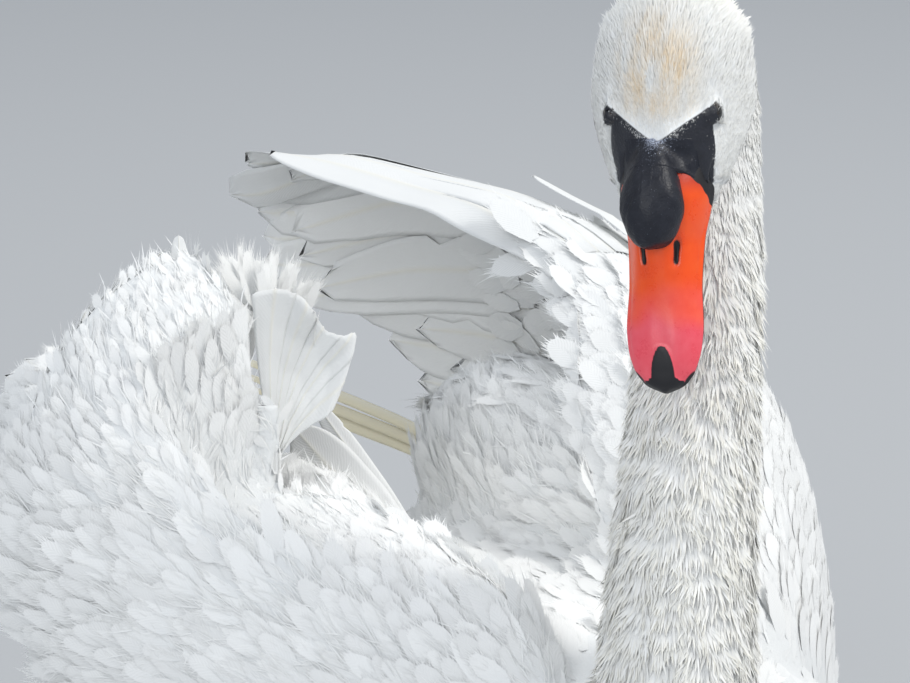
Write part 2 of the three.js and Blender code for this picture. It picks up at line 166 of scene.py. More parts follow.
def fillGaps(places, values, otherwise=np.nan):
    # missing values follow from their neighbours along the line
    known = ~np.isnan(values)
    if not known.any():
        return np.full(len(places), otherwise)
    return np.interp(places, places[known], values[known])


# the head's own frame has x along the bill, y to the bird's left and z out of the crown
headPlan = {
    "billDroop": 0.082,      # the tip hangs this far below the eyes' level, radians
    "eyesAhead": 0.0017,     # the eyeballs' middle lies this far ahead of the frame's origin
}


def boxMiddle(node):
    low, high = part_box(node)
    return (low + high) / 2


def headMatrix():
    middle = (boxMiddle("eye_left") + boxMiddle("eye_right")) / 2
    left = (boxMiddle("eye_left") - boxMiddle("eye_right")).normalized()
    tip = max((v.co for v in nodes["bill_upper"].data.vertices), key=lambda p: (p - middle).length)
    ahead = tip - middle
    ahead = (ahead - left * ahead.dot(left)).normalized()
    crown = ahead.cross(left)
    along = (ahead * math.cos(headPlan["billDroop"]) + crown * math.sin(headPlan["billDroop"])).normalized()
    crown = along.cross(left)
    turn = Matrix((along, left, crown)).transposed().to_4x4()
    return Matrix.Translation(middle - along * headPlan["eyesAhead"]) @ turn


headToWorld = headMatrix()
worldToHead = headToWorld.inverted()
eyesMiddle = headToWorld.translation
print("head frame", [round(x, 4) for x in eyesMiddle])


def moved(points, matrix):
    m = np.array(matrix)
    return np.asarray(points, float) @ m[:3, :3].T + m[:3, 3]


def inHead(points):
    return moved(points, worldToHead)


def fromHead(points):
    return moved(points, headToWorld)


def newGroup(name, inputs, outputs):
    # a node group whose sockets are all plain numbers
    tree = bpy.data.node_groups.new(name, "ShaderNodeTree")
    for label, value in inputs.items():
        socket = tree.interface.new_socket(label, in_out="INPUT", socket_type="NodeSocketFloat")
        socket.default_value = value
    for label in outputs:
        tree.interface.new_socket(label, in_out="OUTPUT", socket_type="NodeSocketFloat")
    return tree, tree.nodes.new("NodeGroupInput"), tree.nodes.new("NodeGroupOutput")


def addNode(tree, kind, links=None, **settings):
    # a node with its settings, its plain values and what feeds its sockets
    node = tree.nodes.new(kind)
    for key, value in settings.items():
        setattr(node, key, value)
    for socket, source in (links or {}).items():
        if isinstance(source, (int, float, tuple)):
            node.inputs[socket].default_value = source
        else:
            tree.links.new(source, node.inputs[socket])
    return node


def mathNode(tree, operation, a, b=0.0, c=0.0, clamp=False):
    node = addNode(tree, "ShaderNodeMath", {0: a, 1: b, 2: c}, operation=operation, use_clamp=clamp)
    return node.outputs[0]


def mixColour(tree, factor, a, b, blend="MIX"):
    node = addNode(tree, "ShaderNodeMix", {0: factor, 6: a, 7: b}, data_type="RGBA", blend_type=blend)
    return node.outputs[2]


def newMaterial(name, **values):
    # a material, its node tree and its Principled shader
    material = bpy.data.materials.new(name)
    material.use_nodes = True
    shader = material.node_tree.nodes["Principled BSDF"]
    for key, value in values.items():
        shader.inputs[key].default_value = value
    return material, material.node_tree, shader


def connect(tree, shader, sources):
    for socket, source in sources.items():
        tree.links.new(source, shader.inputs[socket])


def mapRange(tree, value, low, high):
    node = addNode(tree, "ShaderNodeMapRange", {"Value": value, "From Min": low, "From Max": high})
    return node.outputs[0]


def noiseNode(tree, place, scale, **settings):
    links = {"Vector": place, "Scale": scale, **settings}
    return addNode(tree, "ShaderNodeTexNoise", links).outputs["Fac"]


def scaled(tree, value, times, plus):
    return mathNode(tree, "MULTIPLY_ADD", value, times, plus)


def attribute(tree, name):
    return addNode(tree, "ShaderNodeAttribute", attribute_name=name).outputs["Fac"]


viewPlan = {
    "azimuth": -28.0,        # degrees round the bird's front
    "height": 15.0,          # degrees above the horizon
    "distance": 3.0,
    "sensor": 36,
    "eyesRight": 0.0844,     # the eyes lie this far right of the picture's middle
    "eyesUp": 0.0944,        # and this far above it
    "pictureWidth": 0.3699,  # metres across the picture at the eyes
}


def wayTo(azimuth, height):
    # degrees round the bird's front, and above the horizon
    a, h = math.radians(azimuth), math.radians(height)
    return Vector((math.sin(a) * math.cos(h), -math.cos(a) * math.cos(h), math.sin(h)))


def makeCamera():
    azimuth = math.radians(viewPlan["azimuth"])
    back = wayTo(viewPlan["azimuth"], viewPlan["height"])
    right = Vector((math.cos(azimuth), math.sin(azimuth), 0))
    up = back.cross(right)
    data = bpy.data.cameras.new("viewCamera")
    data.sensor_width = viewPlan["sensor"]
    data.lens = viewPlan["sensor"] * viewPlan["distance"] / viewPlan["pictureWidth"]
    data.clip_end = 50
    camera = link(bpy.data.objects.new("viewCamera", data))
    target = eyesMiddle - right * viewPlan["eyesRight"] - up * viewPlan["eyesUp"]
    place = Matrix((right, up, back)).transposed().to_4x4()
    camera.matrix_world = Matrix.Translation(target + back * viewPlan["distance"]) @ place
    bpy.context.scene.camera = camera


stagePlan = {
    "floorSize": 14.0,
    "colour": (0.44, 0.45, 0.46, 1),         # floor and background alike
    "lightColour": (0.78, 0.84, 0.92, 1),    # what lights the bird from all round
    "lightStrength": 0.76,
    "aim": Vector((0, 0.05, 0.28)),          # where the lamps point
}

lampPlan = [
    # name, azimuth, height in degrees, distance, size, watts, colour
    ("keyLamp", 44, 46, 2.6, 0.8, 36, (1.0, 0.975, 0.93)),
    ("frontLamp", -48, 26, 2.8, 2.2, 26, (0.97, 0.985, 1.0)),
    ("rimLamp", 150, 42, 2.6, 1.2, 16, (1.0, 0.98, 0.95)),
]


def makeStage():
    deselectAll()
    bpy.ops.mesh.primitive_grid_add(x_subdivisions=8, y_subdivisions=8, size=stagePlan["floorSize"],
                                    location=(0, 0, -0.0005))
    floor = bpy.context.object
    floor.name = "floor"
    paint = newMaterial("floorPaint", **{"Base Color": stagePlan["colour"], "Roughness": 0.85})[0]
    floor.data.materials.append(paint)

    world = bpy.data.worlds.new("studio")
    bpy.context.scene.world = world
    world.use_nodes = True
    tree = world.node_tree
    tree.nodes.clear()
    seen = addNode(tree, "ShaderNodeBackground", {"Color": stagePlan["colour"]})
    lit = addNode(tree, "ShaderNodeBackground", {"Color": stagePlan["lightColour"],
                                                 "Strength": stagePlan["lightStrength"]})
    path = addNode(tree, "ShaderNodeLightPath").outputs
    shown = mathNode(tree, "MAXIMUM", path["Is Camera Ray"], path["Is Glossy Ray"])
    shown = mathNode(tree, "MAXIMUM", shown, path["Is Transmission Ray"])
    mix = addNode(tree, "ShaderNodeMixShader", {"Fac": shown, 1: lit.outputs[0], 2: seen.outputs[0]})
    addNode(tree, "ShaderNodeOutputWorld", {"Surface": mix.outputs[0]})

    for name, azimuth, height, distance, size, watts, colour in lampPlan:
        lamp = bpy.data.lights.new(name, "AREA")
        lamp.shape = "DISK"
        lamp.size = size
        lamp.energy = watts
        lamp.color = colour
        obj = link(bpy.data.objects.new(name, lamp))
        away = wayTo(azimuth, height)
        obj.location = stagePlan["aim"] + away * distance
        obj.rotation_euler = away.to_track_quat("Z", "Y").to_euler()


makeCamera()
makeStage()
bpy.context.scene.view_settings.view_transform = "Standard"
print("camera, floor and lamps set")

fleshNodes = ["trunk", "neck_lower", "neck_middle", "neck_upper", "head", "wing_left", "wing_right",
              "scapulars_left", "scapulars_right"]

skinPlan = {
    "voxel": 0.004,
    "smoothTurns": 9,
    "headReach": 0.062,      # metres round the eyes' middle that get finer faces
    "eyeReach": 0.0125,      # and round each eye, finer still
    "billFloor": -0.010,     # the bill's root inside the skin is pressed down to this level
    "billSquash": 0.72,
    "face": ((0.008, -0.04, -0.03), (0.055, 0.04, 0.03)),    # the bare face's box, in the head's frame
    "faceTurns": 30,         # smoothing there, where the solids meet in steps
    "thinShare": 0.34,       # the skin goes in by no more than this share of what lies behind it
    "cheekWide": 0.0222,     # half width of the bare cheeks, and how much they narrow towards the bill
    "cheekTaper": 0.0036,
    "depth": {"trunk": 0.0060, "neck": 0.0040, "head": 0.0012, "wing_left": 0.0040, "wing_right": 0.0040,
              "scapulars": 0.0065},
}

regionNodes = {
    "trunk": ["trunk"],
    "neck": ["neck_lower", "neck_middle", "neck_upper"],
    "head": ["head", "bill_upper"],
    "wing_left": ["wing_left"],
    "wing_right": ["wing_right"],
    "scapulars": ["scapulars_left", "scapulars_right"],
}
regionNames = list(regionNodes)

# the bare black face, in the head's frame, metres
facePlan = {
    "peak": 0.0140,          # where the white of the forehead comes down to a point
    "peakSlope": 0.78,       # how fast that edge runs back towards the eyes
    "peakRound": 0.0022,     # and how blunt its point is
    "lowStart": 0.0011,      # the lower edge's height beside the eye
    "lowSlope": 0.36,
    "lowFrom": 0.007,
}

eyePlan = {
    "radius": 0.0056,
    "ahead": 0.0017,
    "spread": 0.0192,
    "openLong": 0.0047,      # half length and half height of the opening between the lids
    "openTall": 0.0017,
    "tilt": 0.50,            # the back corner is the higher one, radians
    "lid": 0.00075,          # how far the lids stand off the eyeball
    "rim": 1.09,             # bare rim, in widths of the opening
}


def treeOfNodes(nodeNames):
    points, faces = [], []
    for name in nodeNames:
        mesh = nodes[name].data
        start = len(points)
        points += [v.co.copy() for v in mesh.vertices]
        faces += [[start + i for i in p.vertices] for p in mesh.polygons]
    return BVHTree.FromPolygons(points, faces)


def regionDistances(points):
    trees = [treeOfNodes(regionNodes[name]) for name in regionNames]
    return np.array([[tree.find_nearest(p)[3] for p in points] for tree in trees])


def shrinkage(points):
    # how far each point lies inside the solids
    tree = treeOfNodes(fleshNodes)
    inside = np.zeros(len(points))
    for i, p in enumerate(points):
        place, normal, _, far = tree.find_nearest(p)
        if (Vector(p) - place).dot(normal) < 0:
            inside[i] = min(far, 0.003)
    return inside


def thickness(skin, points):
    # how much of the skin's inside lies behind each point
    tree = BVHTree.FromPolygons(points.tolist(), [list(f.vertices) for f in skin.data.polygons])
    behind = np.full(len(points), 0.05)
    for i, (p, n) in enumerate(zip(points, getNormals(skin.data))):
        hit = tree.ray_cast(Vector(p - n * 0.0003), Vector(-n), 0.05)
        if hit[0] is not None:
            behind[i] = hit[3]
    return behind


def refine(mesh, middle, reach, cuts):
    near = [f for f in mesh.faces if (f.calc_center_median() - middle).length < reach]
    edges = list({e for f in near for e in f.edges})
    bmesh.ops.subdivide_edges(mesh, edges=edges, cuts=cuts, use_grid_fill=True, smooth=0)
    bmesh.ops.triangulate(mesh, faces=[f for f in mesh.faces if len(f.verts) > 4])


def eyeSpace(local, side):
    # a point's place round one eye: across the opening, up it, and how far out it lies
    x = local[:, 0] - eyePlan["ahead"]
    z = local[:, 2]
    c, s = math.cos(eyePlan["tilt"]), math.sin(eyePlan["tilt"])
    long = (x * c - z * s) / eyePlan["openLong"]
    tall = (x * s + z * c) / eyePlan["openTall"]
    out = side * local[:, 1] - eyePlan["spread"]
    # the front corner is drawn out towards the bill, and the back corner less so
    pinch = 1 + 0.16 * np.abs(long) ** 3
    return np.sqrt(long ** 2 + (tall * pinch) ** 2), out


def bareness(local):
    # above 0 on the bare black skin between eye, forehead and bill, in metres from its edge
    x, y, z = local.T
    arm = np.sqrt(y ** 2 + facePlan["peakRound"] ** 2) - facePlan["peakRound"]
    top = x - (facePlan["peak"] - facePlan["peakSlope"] * arm)
    low = z - (facePlan["lowStart"] - facePlan["lowSlope"] * (x - facePlan["lowFrom"]))
    inside = np.minimum(top * 0.8, low * 0.94)
    for side in (1, -1):
        ring, out = eyeSpace(local, side)
        rim = (eyePlan["rim"] - ring) * eyePlan["openTall"]
        inside = np.where(out > -0.006, np.maximum(inside, rim), inside)
    return inside


def makeSkin():
    under = copyOfNodes("billUnder", ["bill_upper"])
    local = inHead(getPoints(under.data))
    local[:, 2] = skinPlan["billFloor"] + (local[:, 2] - skinPlan["billFloor"]) * skinPlan["billSquash"]
    setPoints(under.data, fromHead(local))
    skin = copyOfNodes("skin", fleshNodes + ["eye_left", "eye_right"])
    joinOnto(skin, [under])
    applyModifier(skin, "REMESH", mode="VOXEL", voxel_size=skinPlan["voxel"], use_smooth_shade=True)
    applyModifier(skin, "SMOOTH", factor=0.5, iterations=skinPlan["smoothTurns"])
    mesh = bmesh.new()
    mesh.from_mesh(skin.data)
    refine(mesh, eyesMiddle, skinPlan["headReach"], 2)
    for eye in ("eye_left", "eye_right"):
        refine(mesh, boxMiddle(eye), skinPlan["eyeReach"], 2)
    mesh.verts.ensure_lookup_table()
    local = inHead(np.array([v.co for v in mesh.verts]))
    low, high = skinPlan["face"]
    face = [v for v, p in zip(mesh.verts, local) if (p > low).all() and (p < high).all()]
    axes = {"use_axis_" + axis: True for axis in "xyz"}
    for _ in range(skinPlan["faceTurns"]):
        bmesh.ops.smooth_vert(mesh, verts=face, factor=0.5, **axes)
    mesh.to_mesh(skin.data)
    mesh.free()

    # smoothing drew the skin in: it goes back out to the solids, then under the coat by its depth
    points = getPoints(skin.data)
    points += getNormals(skin.data) * shrinkage(points)[:, None]
    setPoints(skin.data, points)
    away = regionDistances(points)
    weight = 1 / (away + 0.002) ** 2
    weight /= weight.sum(0)
    depth = np.array([skinPlan["depth"][name] for name in regionNames]) @ weight
    local = inHead(points)
    bare = bareness(local)
    onHead = away[regionNames.index("head")] < 0.004
    depth = np.where(onHead, depth * (1 - 0.8 * smoothStep(-0.002, 0.002, bare)), depth)
    depth = np.where(onHead & (local[:, 0] > 0.030), 0.0022, depth)
    depth = np.minimum(depth, skinPlan["thinShare"] * thickness(skin, points))
    points -= getNormals(skin.data) * depth[:, None]

    shapeLids(skin, points)
    return skin, away


def shapeLids(skin, points):
    # the skin hugs each eyeball, and sinks inside it within the opening
    local = inHead(points)
    limit = skinPlan["cheekWide"] - skinPlan["cheekTaper"] * smoothStep(0.012, 0.029, local[:, 0])
    spare = np.maximum(np.abs(local[:, 1]) - limit, 0) * (np.linalg.norm(local, axis=1) < 0.06)
    front = smoothStep(0.010, 0.014, local[:, 0]) * smoothStep(-0.0012, 0.0012, bareness(local))
    local[:, 1] -= np.sign(local[:, 1]) * spare * front
    for side in (1, -1):
        middle = np.array([eyePlan["ahead"], side * eyePlan["spread"], 0])
        ray = local - middle
        far = np.linalg.norm(ray, axis=1)
        ring, out = eyeSpace(local, side)
        shell = eyePlan["radius"] + eyePlan["lid"] * smoothStep(1.9, 1.15, ring)
        hug = (ring >= 1) & (far < shell) & (side * local[:, 1] > 0.008)
        local[hug] = middle + ray[hug] / far[hug, None] * shell[hug, None]
        sink = (ring < 1) & (far < eyePlan["radius"] + 0.004) & (out > -0.004)
        local[sink] = middle + ray[sink] / np.maximum(far[sink, None], 1e-6) * (eyePlan["radius"] - 0.0014)
    near = np.linalg.norm(local, axis=1) < 0.07
    points[near] = fromHead(local[near])
    points[:, 2] = np.maximum(points[:, 2], 0.0012)
    setPoints(skin.data, points)


skin, skinAway = makeSkin()
print("skin", len(skin.data.vertices), "points", len(skin.data.polygons), "faces")


editAll(skin, bpy.ops.uv.smart_project, angle_limit=math.radians(66), island_margin=0.002)
skin.data.uv_layers[0].name = "OFBake"
print("skin unwrapped")


def skinSurface():
    # arrays that roots are drawn from
    mesh = skin.data
    mesh.calc_loop_triangles()
    corners, loops = (np.empty(len(mesh.loop_triangles) * 3, np.int32) for _ in range(2))
    mesh.loop_triangles.foreach_get("vertices", corners)
    mesh.loop_triangles.foreach_get("loops", loops)
    uv = np.empty(len(mesh.loops) * 2, np.float32)
    mesh.uv_layers["OFBake"].data.foreach_get("uv", uv)
    points = getPoints(mesh)
    corners = corners.reshape(-1, 3)
    a, b, c = (points[corners[:, i]] for i in range(3))
    return {
        "points": points,
        "normals": getNormals(mesh),
        "corners": corners,
        "loops": loops.reshape(-1, 3),
        "uv": uv.reshape(-1, 2),
        "area": np.linalg.norm(np.cross(b - a, c - a), axis=1) / 2,
        "middle": (a + b + c) / 3,
        "region": skinAway.argmin(0)[corners[:, 0]],
    }


surface = skinSurface()


def drawRoots(weights, count, seed):
    # count roots on the skin, more where weights are higher
    draw = np.random.default_rng(seed)
    chance = surface["area"] * weights
    pick = draw.choice(len(chance), size=count, p=chance / chance.sum())
    r1, r2 = np.sqrt(draw.random(count)), draw.random(count)
    share = np.stack([1 - r1, r1 * (1 - r2), r1 * r2], 1)[:, :, None]
    corners = surface["corners"][pick]
    return {
        "points": (surface["points"][corners] * share).sum(1),
        "normals": unit((surface["normals"][corners] * share).sum(1)),
        "uv": (surface["uv"][surface["loops"][pick]] * share).sum(1),
    }


def keepRoots(roots, keep):
    return {key: value[keep] for key, value in roots.items()}


def spacedRoots(roots, gap):
    # drops roots that lie closer than gap to one kept before; gap may differ from root to root
    gap = np.broadcast_to(gap, len(roots["points"]))
    cell = float(gap.max())
    grid, keep = {}, []
    for i, (p, g) in enumerate(zip(roots["points"], gap)):
        key = tuple((p // cell).astype(int))
        near = [j for dx in (-1, 0, 1) for dy in (-1, 0, 1) for dz in (-1, 0, 1)
                for j in grid.get((key[0] + dx, key[1] + dy, key[2] + dz), ())]
        if near:
            d = roots["points"][near] - p
            if (np.einsum("ij,ij->i", d, d) < g * g).any():
                continue
        grid.setdefault(key, []).append(i)
        keep.append(i)
    return keepRoots(roots, np.array(keep))


def makeMottle():
    # uneven colour and fine grain: one factor for blotches, one height for a bump
    tree, source, out = newGroup("mottle", {"Blotch Scale": 60.0, "Grain Scale": 900.0, "Grain Share": 0.5},
                                 ["Blotch", "Height"])
    place = addNode(tree, "ShaderNodeTexCoord").outputs["Object"]
    scales = source.outputs
    blotch = noiseNode(tree, place, scales["Blotch Scale"], Detail=4.0, Roughness=0.6)
    grain = addNode(tree, "ShaderNodeTexVoronoi", {"Vector": place, "Scale": scales["Grain Scale"]},
                    feature="SMOOTH_F1")
    fine = noiseNode(tree, place, scales["Grain Scale"], Detail=3.0)
    sources = {0: scales["Grain Share"], 2: fine, 3: grain.outputs["Distance"]}
    height = addNode(tree, "ShaderNodeMix", sources, data_type="FLOAT")
    connect(tree, out, {"Blotch": blotch, "Height": height.outputs[0]})
    return tree


mottle = makeMottle()


def addMottle(tree, blotch, grain, share=0.5):
    node = addNode(tree, "ShaderNodeGroup")
    node.node_tree = mottle
    for key, value in (("Blotch Scale", blotch), ("Grain Scale", grain), ("Grain Share", share)):
        node.inputs[key].default_value = value
    return node.outputs["Blotch"], node.outputs["Height"]


def bump(tree, shader, height, strength, distance):
    node = addNode(tree, "ShaderNodeBump", {"Height": height, "Strength": strength, "Distance": distance})
    connect(tree, shader, {"Normal": node.outputs["Normal"]})


plumagePlan = {
    "white": (0.87, 0.87, 0.855, 1),
    "hollow": (0.78, 0.79, 0.785, 1),        # painted shade: the grey deep between the feathers, at their roots and on the skin under them
    "cream": (0.86, 0.79, 0.58, 1),          # feather tips on the neck, and the folded primaries
    "buff": (0.82, 0.62, 0.36, 1),           # the stained crown and forehead
    "black": (0.010, 0.012, 0.018, 1),
    "bare": ((0.006, 0.007, 0.012, 1), (0.022, 0.025, 0.036, 1)),
    "speck": (0.36, 0.40, 0.50, 1),          # pale grey-blue specks on the knob's upper end: partly down thinning out over the black, partly painted sheen
    "orange": ((0.82, 0.050, 0.002, 1), (0.93, 0.108, 0.004, 1)),
    "pink": ((0.74, 0.045, 0.080, 1), (0.86, 0.140, 0.190, 1)),
    # darker red; also painted shade in the nostrils' furrows
    "deepRed": (0.42, 0.030, 0.016, 1),
    "barbDepth": 0.12,
}


def makePlumage(name, vaneScale=0.0):
    # white feather: attributes along, wash, cream, ink and vary are set on each coat piece
    material, tree, shader = newMaterial(name, **{"Roughness": 0.62, "Sheen Weight": 0.12,
                                                  "Sheen Roughness": 0.5})
    along, vary = attribute(tree, "along"), attribute(tree, "vary")
    # painted shade: each feather greys towards its root, where 'along' is low
    base = mixColour(tree, mathNode(tree, "MULTIPLY_ADD", along, 0.75, 0.25, clamp=True),
                     plumagePlan["hollow"], plumagePlan["white"])
    base = mixColour(tree, attribute(tree, "cream"), base, plumagePlan["cream"])
    base = mixColour(tree, attribute(tree, "wash"), base, plumagePlan["buff"])
    shade = scaled(tree, vary, 0.10, 0.93)
    grey = addNode(tree, "ShaderNodeCombineColor", {0: shade, 1: shade, 2: shade}).outputs[0]
    base = mixColour(tree, 1.0, base, grey, "MULTIPLY")
    base = mixColour(tree, attribute(tree, "ink"), base, plumagePlan["black"])
    connect(tree, shader, {"Base Color": base})
    if vaneScale:
        # barbs: fine slanting lines either side of the shaft, from the piece's own vane map
        vane = addNode(tree, "ShaderNodeAttribute", attribute_name="vane").outputs["Vector"]
        parts = addNode(tree, "ShaderNodeSeparateXYZ", {0: vane}).outputs
        slant = scaled(tree, mathNode(tree, "ABSOLUTE", parts[1]), -1.6, parts[0])
        slant = scaled(tree, noiseNode(tree, vane, 160.0, Detail=2.0), 0.004, slant)
        wave = mathNode(tree, "SINE", mathNode(tree, "MULTIPLY", slant, vaneScale))
        bump(tree, shader, wave, plumagePlan["barbDepth"], 0.0002)
    return material


def makeFaceSkin():
    # the skin: pale grey where feathers cover it, painted shade as deep among them, stained buff on the
    # crown; black and pebbled on the bare face
    material, tree, shader = newMaterial("skinAndFace", Roughness=0.5)
    blotch, height = addMottle(tree, 260, 1100, 0.8)
    bare = mapRange(tree, attribute(tree, "bare"), -0.0003, 0.0003)
    black = mixColour(tree, blotch, *plumagePlan["bare"])
    # painted shade: the covered skin takes the grey of the feathers' roots
    white = mixColour(tree, attribute(tree, "wash"), plumagePlan["hollow"], plumagePlan["buff"])
    connect(tree, shader, {"Base Color": mixColour(tree, bare, white, black),
                           "Roughness": scaled(tree, bare, -0.20, 0.62)})
    bump(tree, shader, height, 0.45, 0.0004)
    return material


def makeBillPaint():
    # orange-red bill: attributes ink, pink and deep are set on the bill's points
    material, tree, shader = newMaterial("billHorn", **{"Roughness": 0.3, "Coat Roughness": 0.18})
    blotch, height = addMottle(tree, 150, 1300, 0.35)
    orange, pink = (mixColour(tree, blotch, *pair) for pair in (plumagePlan["orange"], plumagePlan["pink"]))
    colour = mixColour(tree, attribute(tree, "pink"), orange, pink)
    colour = mixColour(tree, attribute(tree, "deep"), colour, plumagePlan["deepRed"])
    ink = mathNode(tree, "ADD", attribute(tree, "ink"), scaled(tree, blotch, 0.24, -0.12))
    ink = mapRange(tree, ink, 0.38, 0.62)
    rough = scaled(tree, blotch, 0.14, 0.22)
    connect(tree, shader, {"Base Color": mixColour(tree, ink, colour, (0.007, 0.007, 0.010, 1)),
                           "Roughness": scaled(tree, ink, 0.20, rough),
                           "Coat Weight": scaled(tree, ink, -0.18, 0.20)})
    bump(tree, shader, height, 0.22, 0.00025)
    return material


def makeKnobSkin():
    material, tree, shader = newMaterial("knobSkin", **{"Specular IOR Level": 0.32})
    blotch, height = addMottle(tree, 260, 1100, 0.8)
    black = mixColour(tree, blotch, *plumagePlan["bare"])
    place = addNode(tree, "ShaderNodeTexCoord").outputs["Object"]
    # specks: partly down, partly painted sheen
    specks = scaled(tree, attribute(tree, "speck"), 0.30, noiseNode(tree, place, 2300.0, Detail=2.0))
    specks = mapRange(tree, specks, 0.72, 0.82)
    connect(tree, shader, {"Base Color": mixColour(tree, specks, black, plumagePlan["speck"]),
                           "Roughness": scaled(tree, blotch, 0.22, 0.34)})
    bump(tree, shader, height, 0.45, 0.0004)
    return material


def makeEyeGlass():
    material, tree, shader = newMaterial("eyeGlass", **{"Roughness": 0.05, "Coat Weight": 1.0,
                                                        "Coat Roughness": 0.02})
    blotch = addMottle(tree, 900, 2600, 0.3)[0]
    iris = mixColour(tree, blotch, (0.008, 0.005, 0.004, 1), (0.026, 0.013, 0.007, 1))
    colour = mixColour(tree, attribute(tree, "pupil"), iris, (0.002, 0.002, 0.003, 1))
    connect(tree, shader, {"Base Color": colour})
    return material


def makeLegSkin():
    material, tree, shader = newMaterial("legSkin", Roughness=0.55)
    blotch, height = addMottle(tree, 120, 420, 0.85)
    colour = mixColour(tree, blotch, (0.016, 0.017, 0.020, 1), (0.060, 0.058, 0.056, 1))
    colour = mixColour(tree, attribute(tree, "ink"), colour, (0.010, 0.009, 0.008, 1))
    connect(tree, shader, {"Base Color": colour, "Roughness": scaled(tree, blotch, 0.2, 0.42)})
    bump(tree, shader, height, 0.6, 0.0006)
    return material


materials = {
    "down": makePlumage("down"),
    "vane": makePlumage("vane", 2600.0),
    "face": makeFaceSkin(),
    "bill": makeBillPaint(),
    "knob": makeKnobSkin(),
    "eye": makeEyeGlass(),
    "leg": makeLegSkin(),
}


def meshFromArrays(name, points, faces, uv=None):
    # faces is an array of quads, or (corners, corners in each face); uv is one pair for each point
    if isinstance(faces, np.ndarray):
        corners, sizes = faces.ravel(), np.full(len(faces), 4)
    else:
        corners, sizes = faces
    mesh = bpy.data.meshes.new(name)
    mesh.vertices.add(len(points))
    mesh.vertices.foreach_set("co", np.asarray(points, np.float32).ravel())
    mesh.loops.add(len(corners))
    mesh.loops.foreach_set("vertex_index", np.asarray(corners, np.int32))
    mesh.polygons.add(len(sizes))
    mesh.polygons.foreach_set("loop_start", (np.cumsum(sizes) - sizes).astype(np.int32))
    mesh.polygons.foreach_set("loop_total", np.asarray(sizes, np.int32))
    mesh.update(calc_edges=True)
    if uv is not None:
        layer = mesh.uv_layers.new(name="OFBake")
        layer.data.foreach_set("uv", np.asarray(uv, np.float32)[corners].ravel())
    mesh.validate()
    return link(bpy.data.objects.new(name, mesh))


def setVane(obj, values):
    layer = obj.data.attributes.new("vane", "FLOAT_VECTOR", "POINT")
    layer.data.foreach_set("vector", values.astype(np.float32).ravel())


def finishPiece(obj, material, slot, *replaced):
    obj.data.materials.clear()
    obj.data.materials.append(materials[material])
    obj.data.polygons.foreach_set("use_smooth", [True] * len(obj.data.polygons))
    obj.data.update()
    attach(obj, "root")
    if replaced:
        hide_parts(*replaced)


def makeEye(side, node):
    deselectAll()
    bpy.ops.mesh.primitive_uv_sphere_add(segments=48, ring_count=32, radius=eyePlan["radius"])
    ball = bpy.context.object
    ball.name = ball.data.name = "eyeball" + node[3:].title().replace("_", "")
    # the pole looks out sideways, and the cornea stands a little proud there
    points = getPoints(ball.data)
    out = points[:, 2] / eyePlan["radius"]
    cornea = smoothStep(0.80, 0.97, out)
    points *= (1 + 0.035 * cornea)[:, None]
    places = np.stack([points[:, 0] + eyePlan["ahead"], side * (points[:, 2] + eyePlan["spread"]),
                       side * points[:, 1]], 1)
    setPoints(ball.data, fromHead(places))
    setAttributes(ball, pupil=smoothStep(0.845, 0.87, out))
    editAll(ball, bpy.ops.mesh.normals_make_consistent, inside=False)
    finishPiece(ball, "eye", "eye", node)


makeEye(1, "eye_left")
makeEye(-1, "eye_right")


def curve(keys):
    # a smooth line through [place, value] keys, flat past both ends
    xs, ys = np.array(keys, float).T
    slopes = np.gradient(ys, xs)

    def at(x):
        x = np.clip(x, xs[0], xs[-1])
        i = np.clip(np.searchsorted(xs, x, side="right") - 1, 0, len(xs) - 2)
        span = xs[i + 1] - xs[i]
        t = (x - xs[i]) / span
        ease = t * t * (3 - 2 * t)
        bend = span * (slopes[i] * t * (1 - t) ** 2 - slopes[i + 1] * t * t * (1 - t))
        return ys[i] * (1 - ease) + ys[i + 1] * ease + bend
    return at


# lengths in millimetres along the head's frame
billPlan = {
    "half": curve([(14, 18.8), (26, 19.6), (34, 19.5), (41, 18.2), (50, 16.4), (60, 15.6), (70, 15.3),
                   (92, 15.8), (102, 14), (109, 10.6), (113, 6.2), (115.2, 0.6)]),
    "top": curve([(14, 5), (24, 9.5), (36, 12), (46, 9.6), (62, 5.6), (80, 1.3), (96, -1.0), (106, -3.2),
                  (113, -6.2), (115.2, -8.6)]),
    "edge": curve([(14, -9.5), (40, -9.5), (70, -8.4), (95, -7.9), (106, -8.6), (112, -10.2),
                   (115.2, -11.2)]),
    "from": 15.0,
    "to": 115.2,
    "around": 96,
    "along": 150,
    "nostrilAt": (58.5, 6.9),
    "nostrilSize": (5.2, 1.15),
    "nostrilDepth": 2.4,
    "nailFrom": 96.0,
    "nailHalf": 4.9,
    "lowerFrom": 24,
    "lowerTo": 110.5,
    "blackAt": 26.8,         # the black skin's border at blackLevel, running back as it rises by blackSlope
    "blackLevel": 7.0,
    "blackSlope": 1.22,
}


